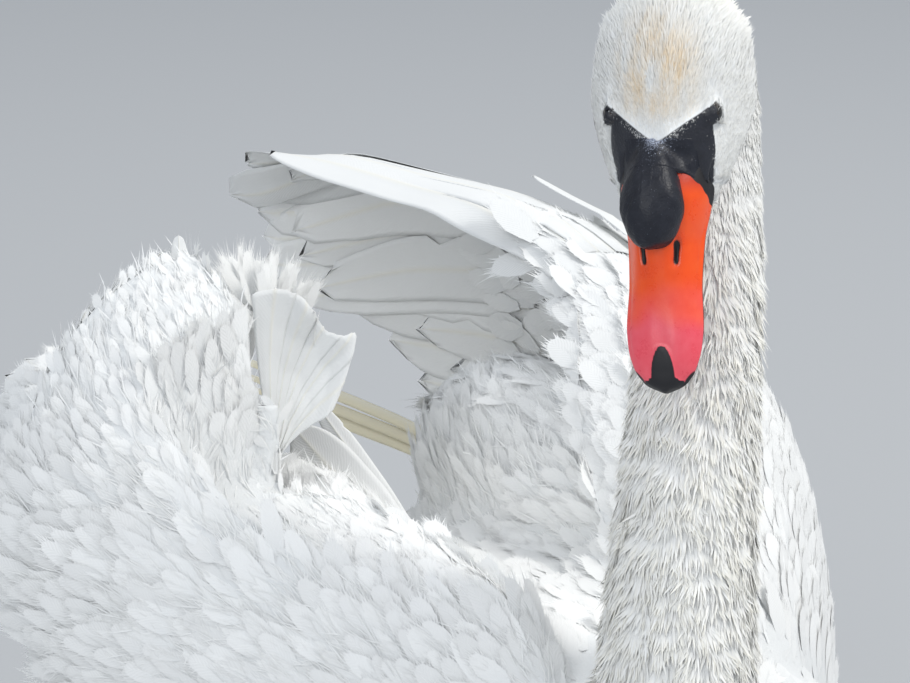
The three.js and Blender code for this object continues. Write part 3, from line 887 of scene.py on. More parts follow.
def makeTube(name, around, along):
    # a capped cylinder cut into rings, lying along x, one unit long and one unit in radius
    deselectAll()
    bpy.ops.mesh.primitive_cylinder_add(vertices=around, radius=1, depth=1, end_fill_type="TRIFAN",
                                        rotation=(0, math.pi / 2, 0))
    tube = bpy.context.object
    tube.name = tube.data.name = name
    bpy.ops.object.transform_apply(location=True, rotation=True, scale=True)
    bpy.ops.object.mode_set(mode="EDIT")
    bpy.ops.mesh.select_all(action="DESELECT")
    bpy.ops.mesh.select_mode(type="EDGE")
    edit = bmesh.from_edit_mesh(tube.data)
    for e in edit.edges:
        e.select = abs(e.verts[0].co.x - e.verts[1].co.x) > 0.5
    bmesh.update_edit_mesh(tube.data)
    bpy.ops.mesh.subdivide(number_cuts=along)
    bpy.ops.mesh.select_mode(type="VERT")
    bpy.ops.object.mode_set(mode="OBJECT")
    return tube


def tubeParts(tube):
    # how far along, how far out and at what angle each of a tube's points lies
    raw = getPoints(tube.data)
    return raw[:, 0] + 0.5, np.hypot(raw[:, 1], raw[:, 2]), np.arctan2(raw[:, 2], raw[:, 1])


def pastBlack(x, z):
    # how far ahead of the black skin's border, over the bill's root
    return x - (billPlan["blackAt"] + (billPlan["blackLevel"] - z) / billPlan["blackSlope"])


def nailMask(x, y):
    # 1 on the nail, a teardrop that widens to the tip
    t = np.clip((x - billPlan["nailFrom"]) / 13.0, 0, 1.4)
    half = billPlan["nailHalf"] * np.sqrt(np.sin(np.clip(t, 0, 1) * math.pi / 2))
    half = half + 7 * smoothStep(108.5, 113, x)
    return smoothStep(0.9, -0.9, np.abs(y) - half) * smoothStep(-0.3, 0.5, x - billPlan["nailFrom"])


def makeUpperBill():
    bill = makeTube("billUpper", billPlan["around"], billPlan["along"])
    spread, radius, angle = tubeParts(bill)
    x = billPlan["from"] + (billPlan["to"] - billPlan["from"]) * spread ** 0.92
    half, top, edge = (billPlan[k](x) for k in ("half", "top", "edge"))
    up = np.sin(angle)
    over = np.where(up > 0, up, 0)
    # a ridged top, sides that fall nearly straight, a lip along the cutting edge
    y = half * np.sign(np.cos(angle)) * np.abs(np.cos(angle)) ** 0.86 * (1 - 0.07 * over)
    ridge = 1.06 + 0.50 * smoothStep(44, 56, x) * smoothStep(98, 80, x)
    z = np.where(up >= 0, edge + (top - edge) * over ** ridge, edge - 0.9 * np.abs(up))
    lip = np.exp(-((z - edge - 0.9) / 0.9) ** 2) * (up >= 0)
    y += np.sign(y) * 0.35 * lip * smoothStep(20, 34, x)
    y *= radius
    z = edge + (z - edge) * radius
    # the culmen's flat behind the nail, the nail, and its hook
    nail = nailMask(x, y) * (up > 0)
    z += 0.45 * nail - 0.5 * smoothStep(80, 94, x) * smoothStep(5, 0, np.abs(y)) * (up > 0) * (1 - nail)
    # nostrils: long pits either side of the ridge
    atX, atY = billPlan["nostrilAt"]
    sizeX, sizeY = billPlan["nostrilSize"]
    slant = np.abs(y) - atY + 0.10 * (x - atX)
    pit = np.exp(-(((x - atX) / sizeX) ** 4 + (slant / sizeY) ** 4)) * (up > 0)
    furrow = np.exp(-(((x - atX) / 11) ** 2 + (slant / 2.6) ** 2)) * (up > 0)
    z -= billPlan["nostrilDepth"] * pit + 0.5 * furrow
    # the tomium's ridge line a little above the edge
    line = np.exp(-((z - edge - 2.5) / 0.5) ** 2) * smoothStep(34, 44, x) * smoothStep(106, 98, x)
    y -= np.sign(y) * 0.18 * (line * (up > 0))
    places = np.stack([x, y, z], 1)
    setPoints(bill.data, fromHead(places / 1000))
    # orange behind a line from the knob to the gape gives way to black skin
    ink = smoothStep(0.9, -0.9, pastBlack(x, z) + 0.4 * np.sin(z * 1.3))
    rim = smoothStep(1.5, 0.6, z - edge) * smoothStep(36, 44, x) * 0.8
    tip = smoothStep(107, 112, x + 0.35 * np.abs(y) - 1) * smoothStep(3.6, 1.0, z - edge)
    # pit * 1.2 paints each nostril black: painted shade inside the openings
    ink = np.maximum.reduce([ink, nail, pit * 1.2, rim * smoothStep(1, 0.3, z - edge), tip])
    # deep: darker red towards the root by the knob, and painted shade in the furrow round each nostril
    setAttributes(bill, ink=np.clip(ink, 0, 1),
                  pink=smoothStep(70, 92, x + 5 * noiseAt(places / 1000, 0.02, 5)) * 0.92,
                  deep=np.clip(smoothStep(36, 28, x) * 0.8 + 0.3 * furrow, 0, 1))
    editAll(bill, bpy.ops.mesh.normals_make_consistent, inside=False)
    finishPiece(bill, "bill", "bill", "bill_upper")


def makeLowerBill():
    bill = makeTube("billLower", 64, 70)
    spread, radius, angle = tubeParts(bill)
    x = billPlan["lowerFrom"] + (billPlan["lowerTo"] - billPlan["lowerFrom"]) * spread
    half, edge = billPlan["half"](x) * 0.9, billPlan["edge"](x)
    up = np.sin(angle)
    deep = 2 + 5.5 * np.sqrt(np.clip((112 - x) / 92, 0, 1))
    y = half * np.sign(np.cos(angle)) * np.abs(np.cos(angle)) ** 0.9 * radius
    hollow = 1.6 * np.exp(-(y / 4.5) ** 2) * smoothStep(104, 90, x)
    below = (deep * np.abs(up) ** 0.9 - hollow * np.abs(up)) * radius
    z = np.where(up >= 0, edge - 1.1, edge - 1.1 - below)
    places = np.stack([x, y, z], 1)
    setPoints(bill.data, fromHead(places / 1000))
    ink = smoothStep(96, 106, x) + smoothStep(45, 36, x) * 0.8
    ink = ink + smoothStep(6, 2, np.abs(y)) * 0.6 * (up < 0)
    setAttributes(bill, ink=np.clip(ink, 0, 1), pink=smoothStep(60, 90, x) * 0.7,
                  deep=0.55 * np.ones(len(x)))
    editAll(bill, bpy.ops.mesh.normals_make_consistent, inside=False)
    finishPiece(bill, "bill", "bill", "bill_lower")


makeUpperBill()
makeLowerBill()

# the black swelling at the bill's root
knobPlan = {
    "ahead": 39.8,
    "aside": -1.4,
    "up": 10.8,
    "across": 13.0,
    "along": 18.4,
    "rear": 27.0,            # how far back it tapers, to the point of the forehead
    "rearUp": 1.4,
}

saddlePlan = {
    "columns": 76,
    "rows": 84,
    "from": 10.5,            # from the point of the forehead, to where the knob stands clear
    "to": 41.0,
    "half": 17.0,
    "smooth": 70,            # how often it is smoothed between what lies under it
    "proud": 0.18,           # how far it stands clear of that
    "reach": 70,             # only faces this near to the eyes' middle matter
}


def makeSaddle(knob):
    # bare skin drawn up from the forehead and the bill's root over the back of the knob
    bill = bpy.data.objects["billUpper"]
    trees = []
    for obj in (skin, bill, knob):
        obj.data.calc_loop_triangles()
        local = inHead(getPoints(obj.data)) * 1000
        near = 3 * saddlePlan["reach"] ** 2
        corners = [tuple(t.vertices) for t in obj.data.loop_triangles]
        corners = [c for c in corners if (local[list(c)] ** 2).sum() < near]
        trees.append(BVHTree.FromPolygons([Vector(p) for p in local], corners))
    plan = saddlePlan
    xs = np.linspace(plan["from"], plan["to"], plan["columns"])
    ys = np.linspace(-plan["half"], plan["half"], plan["rows"])
    x, y = np.meshgrid(xs, ys, indexing="ij")
    above = np.stack([x, y, np.full_like(x, 45)], -1)
    height = np.nan_to_num([castRays(tree, above, (0, 0, -1), 2, 75) for tree in trees], nan=-30.0)
    base = np.maximum(height[0], height[1])
    tall = np.maximum(base, height[2])
    for _ in range(plan["smooth"]):
        inner = (tall[:-2, 1:-1] + tall[2:, 1:-1] + tall[1:-1, :-2] + tall[1:-1, 2:]) / 4
        tall[1:-1, 1:-1] = np.maximum(inner, np.maximum(base, height[2])[1:-1, 1:-1])
    flat = np.stack([x.ravel(), y.ravel(), tall.ravel()], 1)
    bare = bareness(flat / 1000).reshape(x.shape) * 1000
    sink = smoothStep(plan["to"] - 5, plan["to"], x) + smoothStep(0.7, -0.5, bare)
    beside = smoothStep(1.5, 6.0, np.abs(y - knobPlan["aside"]))
    sink = sink + smoothStep(-0.8, 0.6, pastBlack(x, base)) * beside
    sink = sink + smoothStep(plan["half"] - 3.0, plan["half"], np.abs(y))
    sink = sink + smoothStep(plan["from"] + 2.5, plan["from"], x)
    z = tall + plan["proud"] - 2.2 * np.clip(sink, 0, 1)
    places = np.stack([x, y, z], -1).reshape(-1, 3)
    index = np.arange(x.size).reshape(x.shape)
    quads = np.stack([index[:-1, :-1], index[1:, :-1], index[1:, 1:], index[:-1, 1:]], -1).reshape(-1, 4)
    hidden = np.clip(sink, 0, 1).ravel()[quads].min(1) > 0.98
    quads = quads[~hidden]
    return meshFromArrays("saddle", fromHead(places / 1000), quads)


def makeKnob():
    deselectAll()
    bpy.ops.mesh.primitive_uv_sphere_add(segments=96, ring_count=64, radius=1)
    knob = bpy.context.object
    knob.name = knob.data.name = "billKnob"
    raw = getPoints(knob.data)
    x, y, z = raw[:, 2], raw[:, 0], raw[:, 1]
    # it leans back over the forehead as a low saddle, and is fullest in front
    back = smoothStep(0.1, -1, x)
    reach = np.where(x > 0, knobPlan["along"], knobPlan["rear"])
    ring = np.maximum(np.hypot(y, z), 1e-6)
    # the front is round, and the rear narrows as a cone does
    cone = np.where(x > 0, ring, (1 - np.abs(x)) ** 0.62)
    radial = ring * (1 - back) + cone * back
    px = knobPlan["ahead"] + reach * x
    py = knobPlan["aside"] + knobPlan["across"] * y / ring * radial
    pz = knobPlan["up"] + knobPlan["across"] * z / ring * radial * (1 - 0.15 * back)
    pz = pz + knobPlan["rearUp"] * back ** 2
    groove = np.exp(-(y / 0.10) ** 2) * smoothStep(0.2, 0.9, z) * smoothStep(0.35, -0.5, x)
    pz -= 0.5 * groove
    places = np.stack([px, py, pz], 1) / 1000
    lumps = noiseAt(places, 0.006, 21) * 0.00018 + noiseAt(places, 0.014, 22) * 0.0003
    places += unit(raw[:, [2, 0, 1]]) * lumps[:, None]
    setPoints(knob.data, fromHead(places))
    editAll(knob, bpy.ops.mesh.normals_make_consistent, inside=False)
    joinOnto(knob, [makeSaddle(knob)])
    local = inHead(getPoints(knob.data))
    # specks by the feathers' edge on the knob: partly down, partly painted sheen
    specks = np.exp(-np.maximum(bareness(local), 0) / 0.0042 - (local[:, 1] / 0.011) ** 2)
    setAttributes(knob, speck=specks * smoothStep(0.036, 0.022, local[:, 0]))
    finishPiece(knob, "knob", "black_skin", "bill_knob")


makeKnob()
print("eyes, bill and knob made")


def makeBlade(rows):
    # a narrow tuft: (how far along, half width) rows that close to a point
    u = [place for place, half in rows for side in (-1, 1)] + [1.0]
    v = [half * side for place, half in rows for side in (-1, 1)] + [0.0]
    last = len(u) - 3
    faces = [(a, a + 1, a + 3, a + 2) for a in range(0, last, 2)] + [(last, last + 1, last + 2)]
    return {"u": np.array(u), "v": np.array(v), "faces": faces, "loose": np.array(u) > 0.9}


def makeContour(plate=0.62, barbs=20, reach=0.20, sweep=0.16, columns=4, rows=3):
    # a small feather: a rounded plate whose edge breaks all round into fine barbs
    def half(u):
        front = np.sqrt(np.clip(1 - (np.maximum(u - 0.40, 0) / 0.47) ** 2, 0, 1))
        return plate * front * (0.40 + 0.60 * np.sin(np.pi / 2 * np.minimum(u / 0.40, 1)))

    u, v, loose, faces = [], [], [], []
    for r in range(rows + 1):
        place = 0.80 * (r / rows) ** 0.8
        for c in range(columns + 1):
            t = -1 + 2 * c / columns
            u.append(place + 0.06 * (1 - t * t) * (r == rows))
            v.append(t * float(half(place)))
            loose.append(0.0)
    for r in range(rows):
        for c in range(columns):
            a = r * (columns + 1) + c
            faces.append((a, a + 1, a + columns + 2, a + columns + 1))
    for side in (-1, 1):
        for k in range(barbs):
            share = k / (barbs - 1)
            low = 0.10 + 0.70 * share
            out = reach * (1 - 0.25 * share) * (0.55, 1.0, 0.75)[k % 3]
            start = len(u)
            u += [low, low + 0.026, low + sweep * (0.8 + 0.5 * share)]
            v += [side * float(half(low)) * 0.93, side * float(half(low + 0.026)) * 0.93,
                  side * (float(half(low + 0.03)) * (1 - 0.10 * share) + out)]
            loose += [0, 0, 1.0]
            faces.append((start, start + 1, start + 2) if side > 0 else (start + 1, start, start + 2))
    for k in range(11):
        t = (k - 5) / 5
        start = len(u)
        low = 0.80 + 0.05 * (1 - t * t)
        u += [low, low, (0.98, 0.93)[k % 2] - 0.06 * t * t]
        v += [0.30 * t - 0.030, 0.30 * t + 0.030, 0.38 * t]
        loose += [0, 0, 1.0]
        faces.append((start + 1, start, start + 2))
    return {"u": np.array(u), "v": np.array(v), "faces": faces, "loose": np.array(loose)}


patchSize = 0.003            # each tuft's share of the map, at its root's place on the skin's unwrap

# what a coat's plan says where a piece has nothing of its own
coatBasics = {
    "curl": 0.0,             # how much a tuft bends away from the skin along its length, radians
    "roll": 0.12,            # how far tufts lean over to one side, and how far they stray from their way
    "stray": 0.12,
    "vary": 0.2,             # how much their lengths differ
    "ragged": 0.08,
    "cup": 0.1,
    "drift": 0.0,
    "bright": 1.0,           # how quickly a tuft turns white out of the painted shade at its root
}


def growCoat(name, roots, lie, blade, plan, seed, material="down", **marks):
    # every tuft is a small blade rooted on the skin, and lie is the way it runs; plan values may be
    # one number or one for each root
    draw = np.random.default_rng(seed)
    plan = {**coatBasics, **plan}
    count, size = len(roots["points"]), len(blade["u"])
    each = lambda value: np.broadcast_to(np.asarray(value, float), count)[:, None]
    spread = lambda wide: draw.normal(0, wide, count)[:, None]
    normal = roots["normals"]
    ahead = lie - normal * (lie * normal).sum(1, keepdims=True)
    ahead = unit(ahead + 1e-6)
    aside = np.cross(normal, ahead)
    turn = spread(plan["stray"])
    ahead, aside = ahead * np.cos(turn) + aside * np.sin(turn), aside * np.cos(turn) - ahead * np.sin(turn)
    roll = spread(plan["roll"])
    aside, over = aside * np.cos(roll) + normal * np.sin(roll), normal * np.cos(roll) - aside * np.sin(roll)

    long = each(plan["length"]) * draw.uniform(1 - plan["vary"], 1 + plan["vary"], count)[:, None]
    half = each(plan["width"]) / 2 * draw.uniform(0.8, 1.2, count)[:, None]
    lift = each(plan["lift"]) + spread(plan["uneven"])
    curl = each(plan["curl"]) + spread(plan["uneven"])
    u = blade["u"][None] * (1 + plan["ragged"] * blade["loose"][None] * draw.normal(0, 1, (count, size)))
    v = blade["v"][None] + plan["ragged"] * 1.2 * blade["loose"][None] * draw.normal(0, 1, (count, size))
    angle = lift + curl * u / 2
    run, rise = long * u * np.cos(angle), long * u * np.sin(angle)
    rise = rise - plan["cup"] * half * v ** 2
    drift = plan["drift"] * draw.normal(0, 1, count)[:, None] * long * u ** 2
    points = (roots["points"][:, None] + ahead[:, None] * run[..., None] + over[:, None] * rise[..., None]
              + aside[:, None] * (v * half + drift)[..., None])
    points[..., 2] = np.maximum(points[..., 2], 0.0004)

    corner = np.concatenate([np.array(f) for f in blade["faces"]])
    sizes = np.array([len(f) for f in blade["faces"]])
    places = (corner[None] + np.arange(count)[:, None] * size).ravel()
    spot = np.stack([blade["v"] * 0.5 + 0.5, blade["u"]], 1) - 0.5
    uv = (roots["uv"][:, None] + patchSize * spot[None]).reshape(-1, 2)
    coat = meshFromArrays(name, points.reshape(-1, 3), (places, np.tile(sizes, count)), uv)
    perPoint = lambda value: np.repeat(np.broadcast_to(value, count), size)
    # painted shade: dull greys a piece's tufts towards their roots and evens out their tone
    dull = marks.pop("dull", 0.0)
    along = np.clip(blade["u"][None] * each(plan["bright"]) - 0.33 * each(dull), 0, 1)
    setAttributes(coat, along=along, vary=perPoint(draw.random(count) * (1 - dull)))
    for key, value in marks.items():
        fade = np.tile(blade["u"] ** 1.5, count) if key == "cream" else 1
        setAttributes(coat, **{key: perPoint(value) * fade})
    if material == "vane":
        setVane(coat, np.stack([long * u, half * v, np.zeros_like(v)], 2))
    finishPiece(coat, material, "plumage")
    print(name, count, "tufts,", sum(len(f) - 2 for f in blade["faces"]) * count, "triangles")


def inRegions(names):
    wanted = [regionNames.index(n) for n in names]
    return np.isin(surface["region"], wanted).astype(float)


headCoat = {
    "count": 62000,
    "nearBill": 0.55,        # tufts by the bill are this share of the full length
    "clearOfEye": 1.28,      # none grows nearer to an eye than this, in widths of its opening
    "wander": 0.0005,        # how far the feathers' edge wanders along the bare face, and how frayed it is
    "fray": 0.00025,
    "plan": {"length": 0.0050, "width": 0.00105, "lift": 0.17, "curl": -0.10, "stray": 0.10, "uneven": 0.07,
             "vary": 0.25, "ragged": 0.1, "cup": 0.5, "drift": 0.05},
}

# pale specks of down thinning out over the black
loresCoat = {"count": 2200, "clearOfEye": 1.7, "reach": 0.0026, "length": 0.0011, "width": 0.00032}


def headLie(points):
    # back over the crown and cheeks, then round the nape and down the neck
    local = inHead(points)
    x, y, z = local.T
    turn = smoothStep(-0.014, -0.040, x)
    way = np.stack([-(1 - turn) - turn * (z + 0.026) / 0.03, np.zeros(len(x)),
                    -0.12 * (1 - turn) + turn * (x + 0.006) / 0.03], 1)
    way[:, 1] += 0.25 * np.sign(y) * smoothStep(0.004, 0.02, np.abs(y)) * smoothStep(0.02, -0.01, x)
    return way @ np.array(headToWorld)[:3, :3].T


def nearestEye(local):
    # how far from the nearer eye, in widths of its opening
    return np.min([eyeSpace(local, side)[0] for side in (1, -1)], axis=0)


def washOn(local):
    # the stained crown and forehead
    x, y, z = local.T
    top = smoothStep(0.002, 0.018, z) * smoothStep(0.012, 0.000, x) * smoothStep(-0.085, -0.045, x)
    middle = np.exp(-(y / 0.021) ** 4)
    streaks = 0.44 + 0.30 * noiseAt(local * np.array([0.25, 1, 1]), 0.006, 31)
    return np.clip(top * middle * streaks, 0, 1)


def makeHeadCoat():
    local = inHead(surface["middle"])
    weights = inRegions(["head"]) * (bareness(local) < 0.002)
    weights *= 1 + 2.2 * smoothStep(-0.012, 0.0, local[:, 0])
    weights *= (local[:, 0] < 0.045)
    roots = drawRoots(weights, headCoat["count"], 41)
    local = inHead(roots["points"])
    edge = headCoat["wander"] * noiseAt(local, 0.003, 42) + headCoat["fray"] * rng.normal(0, 1, len(local))
    roots = keepRoots(roots, (bareness(local) < edge) & (nearestEye(local) > headCoat["clearOfEye"]))
    local = inHead(roots["points"])
    short = smoothStep(-0.020, 0.012, local[:, 0])
    short = np.maximum(short, smoothStep(3.2, 1.6, nearestEye(local)))
    size = 1 - (1 - headCoat["nearBill"]) * short
    rear = smoothStep(-0.006, -0.045, local[:, 0])
    plan = dict(headCoat["plan"])
    plan["length"] = plan["length"] * size * (1 + 0.55 * rear)
    plan["width"] = plan["width"] * (0.45 + 0.55 * size)
    plan["lift"] = plan["lift"] + 0.10 * (1 - short) - 0.06 * short + 0.17 * rear
    wash = washOn(local) * rng.uniform(0.6, 1.3, len(local))
    back = smoothStep(-0.03, -0.06, local[:, 0])
    blade = makeBlade([(0, 0.7), (0.45, 1.0)])
    growCoat("coatHead", roots, headLie(roots["points"]), blade, plan, 43, wash=np.clip(wash, 0, 1),
             cream=0.35 * back + 0.15 * rng.random(len(local)))


def makeLoresCoat():
    local = inHead(surface["middle"])
    bare = bareness(local)
    upper = smoothStep(-0.002, 0.006, local[:, 2] + 0.004)
    point = 0.03 + np.exp(-(local[:, 1] / 0.009) ** 2)
    weights = inRegions(["head"]) * (bare > -0.0004) * np.exp(-np.maximum(bare, 0) / loresCoat["reach"])
    weights = weights * (nearestEye(local) > loresCoat["clearOfEye"]) * upper
    roots = drawRoots(weights * point, loresCoat["count"], 44)
    deep = smoothStep(0.0, 0.0050, bareness(inHead(roots["points"])))
    plan = dict(headCoat["plan"])
    plan.update(length=loresCoat["length"] - 0.0006 * deep, width=loresCoat["width"] - 0.00010 * deep,
                lift=0.06, stray=0.30)
    ink = np.clip(0.15 + 0.75 * deep + 0.2 * rng.random(len(deep)), 0, 1)
    blade = makeBlade([(0, 0.8), (0.5, 1.0)])
    growCoat("coatLores", roots, -headLie(roots["points"]), blade, plan, 45, ink=ink)


makeHeadCoat()
makeLoresCoat()

neckCoat = {
    "count": 61000,          # tufts in each of the two pieces
    "rowGap": 0.0095,        # the plumes stand up in wavy rows this far apart
    "rowLift": 0.22,
    "sway": 0.42,            # how far clumps of plumes turn aside, in small clumps and in wide ones
    "sweep": 0.22,
    "plan": {"length": 0.0092, "width": 0.0012, "lift": 0.050, "curl": 0.04, "stray": 0.12, "uneven": 0.035,
             "roll": 0.05, "vary": 0.28, "ragged": 0.1, "cup": 0.2, "drift": 0.06, "bright": 1.9},
}


def bodyLie(points):
    # down the neck, turning back over the breast and along the belly and flanks
    x, y, z = points.T
    down = smoothStep(0.13, 0.24, z) * smoothStep(-0.02, -0.06, y)
    back = 1 - down
    return np.stack([0.15 * np.sign(x) * back * smoothStep(-0.05, -0.15, y), 0.08 + back,
                     -down - 0.35 * back * smoothStep(-0.10, -0.19, y)], 1)


def makeNeckCoat():
    blade = makeBlade([(0, 0.75), (0.55, 1.0)])
    weights = inRegions(["neck"])
    roots = drawRoots(weights, 2 * neckCoat["count"], 51)
    points = roots["points"]
    wave = points[:, 2] / neckCoat["rowGap"] + 0.55 * noiseAt(points, 0.030, 52)
    wave = wave + 0.30 * noiseAt(points, 0.011, 53)
    crest = 0.5 + 0.5 * np.cos(2 * math.pi * wave)
    ruffled = smoothStep(0.50, 0.42, points[:, 2])
    plan = dict(neckCoat["plan"])
    plan["length"] = plan["length"] * (0.60 + 0.40 * ruffled) * (0.85 + 0.3 * crest)
    plan["width"] = plan["width"] * (0.75 + 0.25 * ruffled)
    plan["lift"] = plan["lift"] + neckCoat["rowLift"] * (0.35 + 0.65 * ruffled) * crest ** 2
    cream = np.clip(0.06 + 0.42 * crest ** 2 * rng.random(len(points)) * (0.4 + 0.6 * ruffled), 0, 1)
    sway = neckCoat["sway"] * noiseAt(points, 0.009, 56) + neckCoat["sweep"] * noiseAt(points, 0.024, 57)
    sway = sway * (0.3 + 0.7 * ruffled)
    lie = unit(bodyLie(points))
    lie = lie + sway[:, None] * np.cross(roots["normals"], lie)
    half = np.arange(len(points)) % 2 == 0
    for name, pick, seed in (("coatNeckA", half, 54), ("coatNeckB", ~half, 55)):
        part = {key: value[pick] if isinstance(value, np.ndarray) else value for key, value in plan.items()}
        growCoat(name, keepRoots(roots, pick), lie[pick], blade, part, seed, cream=cream[pick])


makeNeckCoat()

# feather shapes for the body, wings and shoulders
contour = makeContour()
downy = makeContour(plate=0.50, barbs=22, reach=0.36, sweep=0.24)
smooth = makeContour(plate=0.80, barbs=14, reach=0.05, sweep=0.06)
sleek = makeContour(plate=0.66, barbs=20, reach=0.13, sweep=0.14)
strand = makeBlade([(0, 0.8), (0.55, 1.0)])


def throatFine(points):
    # the feathers grow finer from the breast up towards the neck
    return smoothStep(-0.10, -0.19, points[:, 1]) * smoothStep(0.12, 0.2, points[:, 2])


trunkCoat = {
    "count": 20000,
    "gap": (0.0098, 0.0035),         # on the body, and how much less it is at the throat; so for the others
    "length": (0.034, 0.013),
    "width": (0.024, 0.010),
}


def makeTrunkCoat():
    gap, length, width = (trunkCoat[key] for key in ("gap", "length", "width"))
    roots = drawRoots(inRegions(["trunk"]), trunkCoat["count"], 61)
    roots = spacedRoots(roots, gap[0] - gap[1] * throatFine(roots["points"]))
    fine = throatFine(roots["points"])
    plan = {"length": length[0] - length[1] * fine, "width": width[0] - width[1] * fine, "lift": 0.05,
            "stray": 0.10, "uneven": 0.02, "vary": 0.15, "ragged": 0.05, "bright": 1.6}
    flat = smoothStep(0.6, 0.9, roots["normals"][:, 2])[:, None]
    lie = bodyLie(roots["points"]) * (1 - flat) + flat * np.array([0.0, 1.0, 0.0])
    growCoat("coatTrunk", roots, lie, contour, plan, 62, material="vane")


def roomAbove(points, tree, top):
    # how far the solids reach above each root
    above = np.column_stack([points[:, :2], np.full(len(points), top)])
    return np.nan_to_num(castRays(tree, above, (0, 0, -1), 2) - points[:, 2], nan=0.0)


def wingLie(points, side):
    # back along the wing, rising a little; the right wing's tuft is blown upright
    x, y, z = points.T
    count = len(x)
    lie = np.stack([np.zeros(count), np.ones(count), 0.18 + 0.25 * smoothStep(0.0, -0.1, y)], 1)
    if side < 0:
        tuft = smoothStep(0.030, 0.075, y) * smoothStep(0.27, 0.34, z)
        lie = lie * (1 - tuft[:, None]) + tuft[:, None] * np.array([-0.10, 0.45, 0.85])
    else:
        lie[:, 2] -= 0.6 * smoothStep(0.06, 0.14, y)
    return lie


wingPlan = {
    "count": 19000,
    "gap": 0.0060,
    "length": 0.027,
    "width": 0.018,
    "clear": 0.0050,         # how far upright feathers may stand above the solids
}


def makeWingCoat(side, name):
    roots = drawRoots(inRegions(["wing_" + name]), wingPlan["count"], 70 + side)
    covered = (roots["normals"][:, 1] > 0.75) & (roots["points"][:, 1] > 0.12)
    roots = keepRoots(roots, ~covered)                           # the long feathers hide the rear end
    points = roots["points"]
    rearward = smoothStep(0.04, 0.13, points[:, 1])
    tuft = smoothStep(0.02, 0.07, points[:, 1]) * smoothStep(0.26, 0.33, points[:, 2]) * (side < 0)
    roots = spacedRoots(roots, wingPlan["gap"] + 0.0030 * rearward * (1 - tuft) - 0.0008 * tuft)
    points = roots["points"]
    rearward = smoothStep(0.04, 0.13, points[:, 1])
    tuft = smoothStep(0.02, 0.07, points[:, 1]) * smoothStep(0.26, 0.33, points[:, 2]) * (side < 0)
    clumps = noiseAt(points, 0.045, 71 + side)
    rim = smoothStep(-0.10, -0.16, points[:, 0]) * smoothStep(0.16, 0.26, points[:, 2]) * (side < 0)
    right = side < 0
    loose = np.clip(clumps + 0.3 * rim, 0, 1) * smoothStep(0.0, 0.06, points[:, 1]) * (0.2 + 0.8 * right)
    long = wingPlan["length"] + 0.012 * rearward - 0.004 * tuft
    room = roomAbove(points, treeOfNodes(["wing_" + name]), 0.5)
    long = np.where(tuft > 0.05, np.clip(room + wingPlan["clear"], 0.009, long), long)
    wide = np.minimum(wingPlan["width"] + 0.006 * rearward - 0.005 * tuft, 0.62 * long)
    plan = {"length": long, "width": wide, "lift": 0.030 + 0.12 * loose + 0.05 * tuft,
            "curl": 0.10 * loose + 0.10 * tuft * clumps, "stray": 0.08, "uneven": 0.018, "ragged": 0.09,
            "roll": 0.07, "cup": 0.05, "drift": 0.05}
    if right:
        plan["stray"] = 0.14
    else:
        # the left wing's feathers lie close
        plan.update(lift=0.014 + 0.05 * loose, curl=0.02 * loose, uneven=0.008, roll=0.03, cup=0.02)
    # painted shade: the left wing's feathers beside the lit top of its long feathers are greyed and whiten
    # more slowly
    dull = smoothStep(0.0, 0.10, points[:, 1]) * smoothStep(0.28, 0.34, points[:, 2]) * (side > 0)
    plan["bright"] = 1.7 - 0.9 * dull
    growCoat("coatWing" + name.title(), roots, wingLie(points, side), contour if right else sleek, plan,
             74 + side, material="vane", dull=dull)


def tuftLie(points):
    return wingLie(points, -1)


def shoulderLie(points):
    tilt = noiseAt(points, 0.05, 82)
    return np.stack([0.25 * tilt - 0.2 * np.sign(points[:, 0]), 0.72 + 0 * tilt, 0.55 + 0.25 * tilt], 1)


shoulderCoat = {"count": 18000, "gap": 0.0060, "length": 0.022, "width": 0.014}


def makeShoulderCoat():
    roots = drawRoots(inRegions(["scapulars"]), shoulderCoat["count"], 81)
    roots = keepRoots(roots, roots["normals"][:, 1] < 0.85)
    roots = spacedRoots(roots, shoulderCoat["gap"])
    tilt = noiseAt(roots["points"], 0.05, 82)
    plan = {"length": shoulderCoat["length"], "width": shoulderCoat["width"],
            "lift": 0.055 + 0.06 * np.clip(tilt, 0, 1), "curl": 0.02, "roll": 0.08, "uneven": 0.03,
            "drift": 0.06, "bright": 1.6}
    growCoat("coatShoulders", roots, shoulderLie(roots["points"]), downy, plan, 83, material="vane")


def makeStrands(name, region, count, lieOf, seed, plan):
    # loose fine barbs in clumps, over the small feathers
    roots = drawRoots(inRegions([region]), count, seed)
    points = roots["points"]
    lie = unit(lieOf(points))
    sway = noiseAt(points, plan["clump"], seed + 1)[:, None]
    lie = lie + plan["sway"] * sway * np.cross(roots["normals"], lie)
    lumps = noiseAt(points, plan["clump"] * 0.7, seed + 2)
    part = {"length": plan["length"] * (1 + 0.3 * lumps), "width": plan["width"],
            "lift": plan["lift"] + 0.10 * lumps, "curl": 0.12, "stray": 0.22, "uneven": 0.08, "vary": 0.3,
            "ragged": 0.1, "cup": 0.3, "drift": 0.10, "bright": 1.8}
    growCoat(name, roots, lie, strand, part, seed + 3)


strandPlan = {"length": 0.0115, "width": 0.0006, "lift": 0.12, "clump": 0.020, "sway": 0.3}

makeTrunkCoat()
makeWingCoat(1, "left")
makeWingCoat(-1, "right")
makeShoulderCoat()
makeStrands("coatWingRightStrands", "wing_right", 9000, tuftLie, 91, strandPlan)
makeStrands("coatShoulderStrands", "scapulars", 6000, shoulderLie, 95, strandPlan)
print("coat grown")

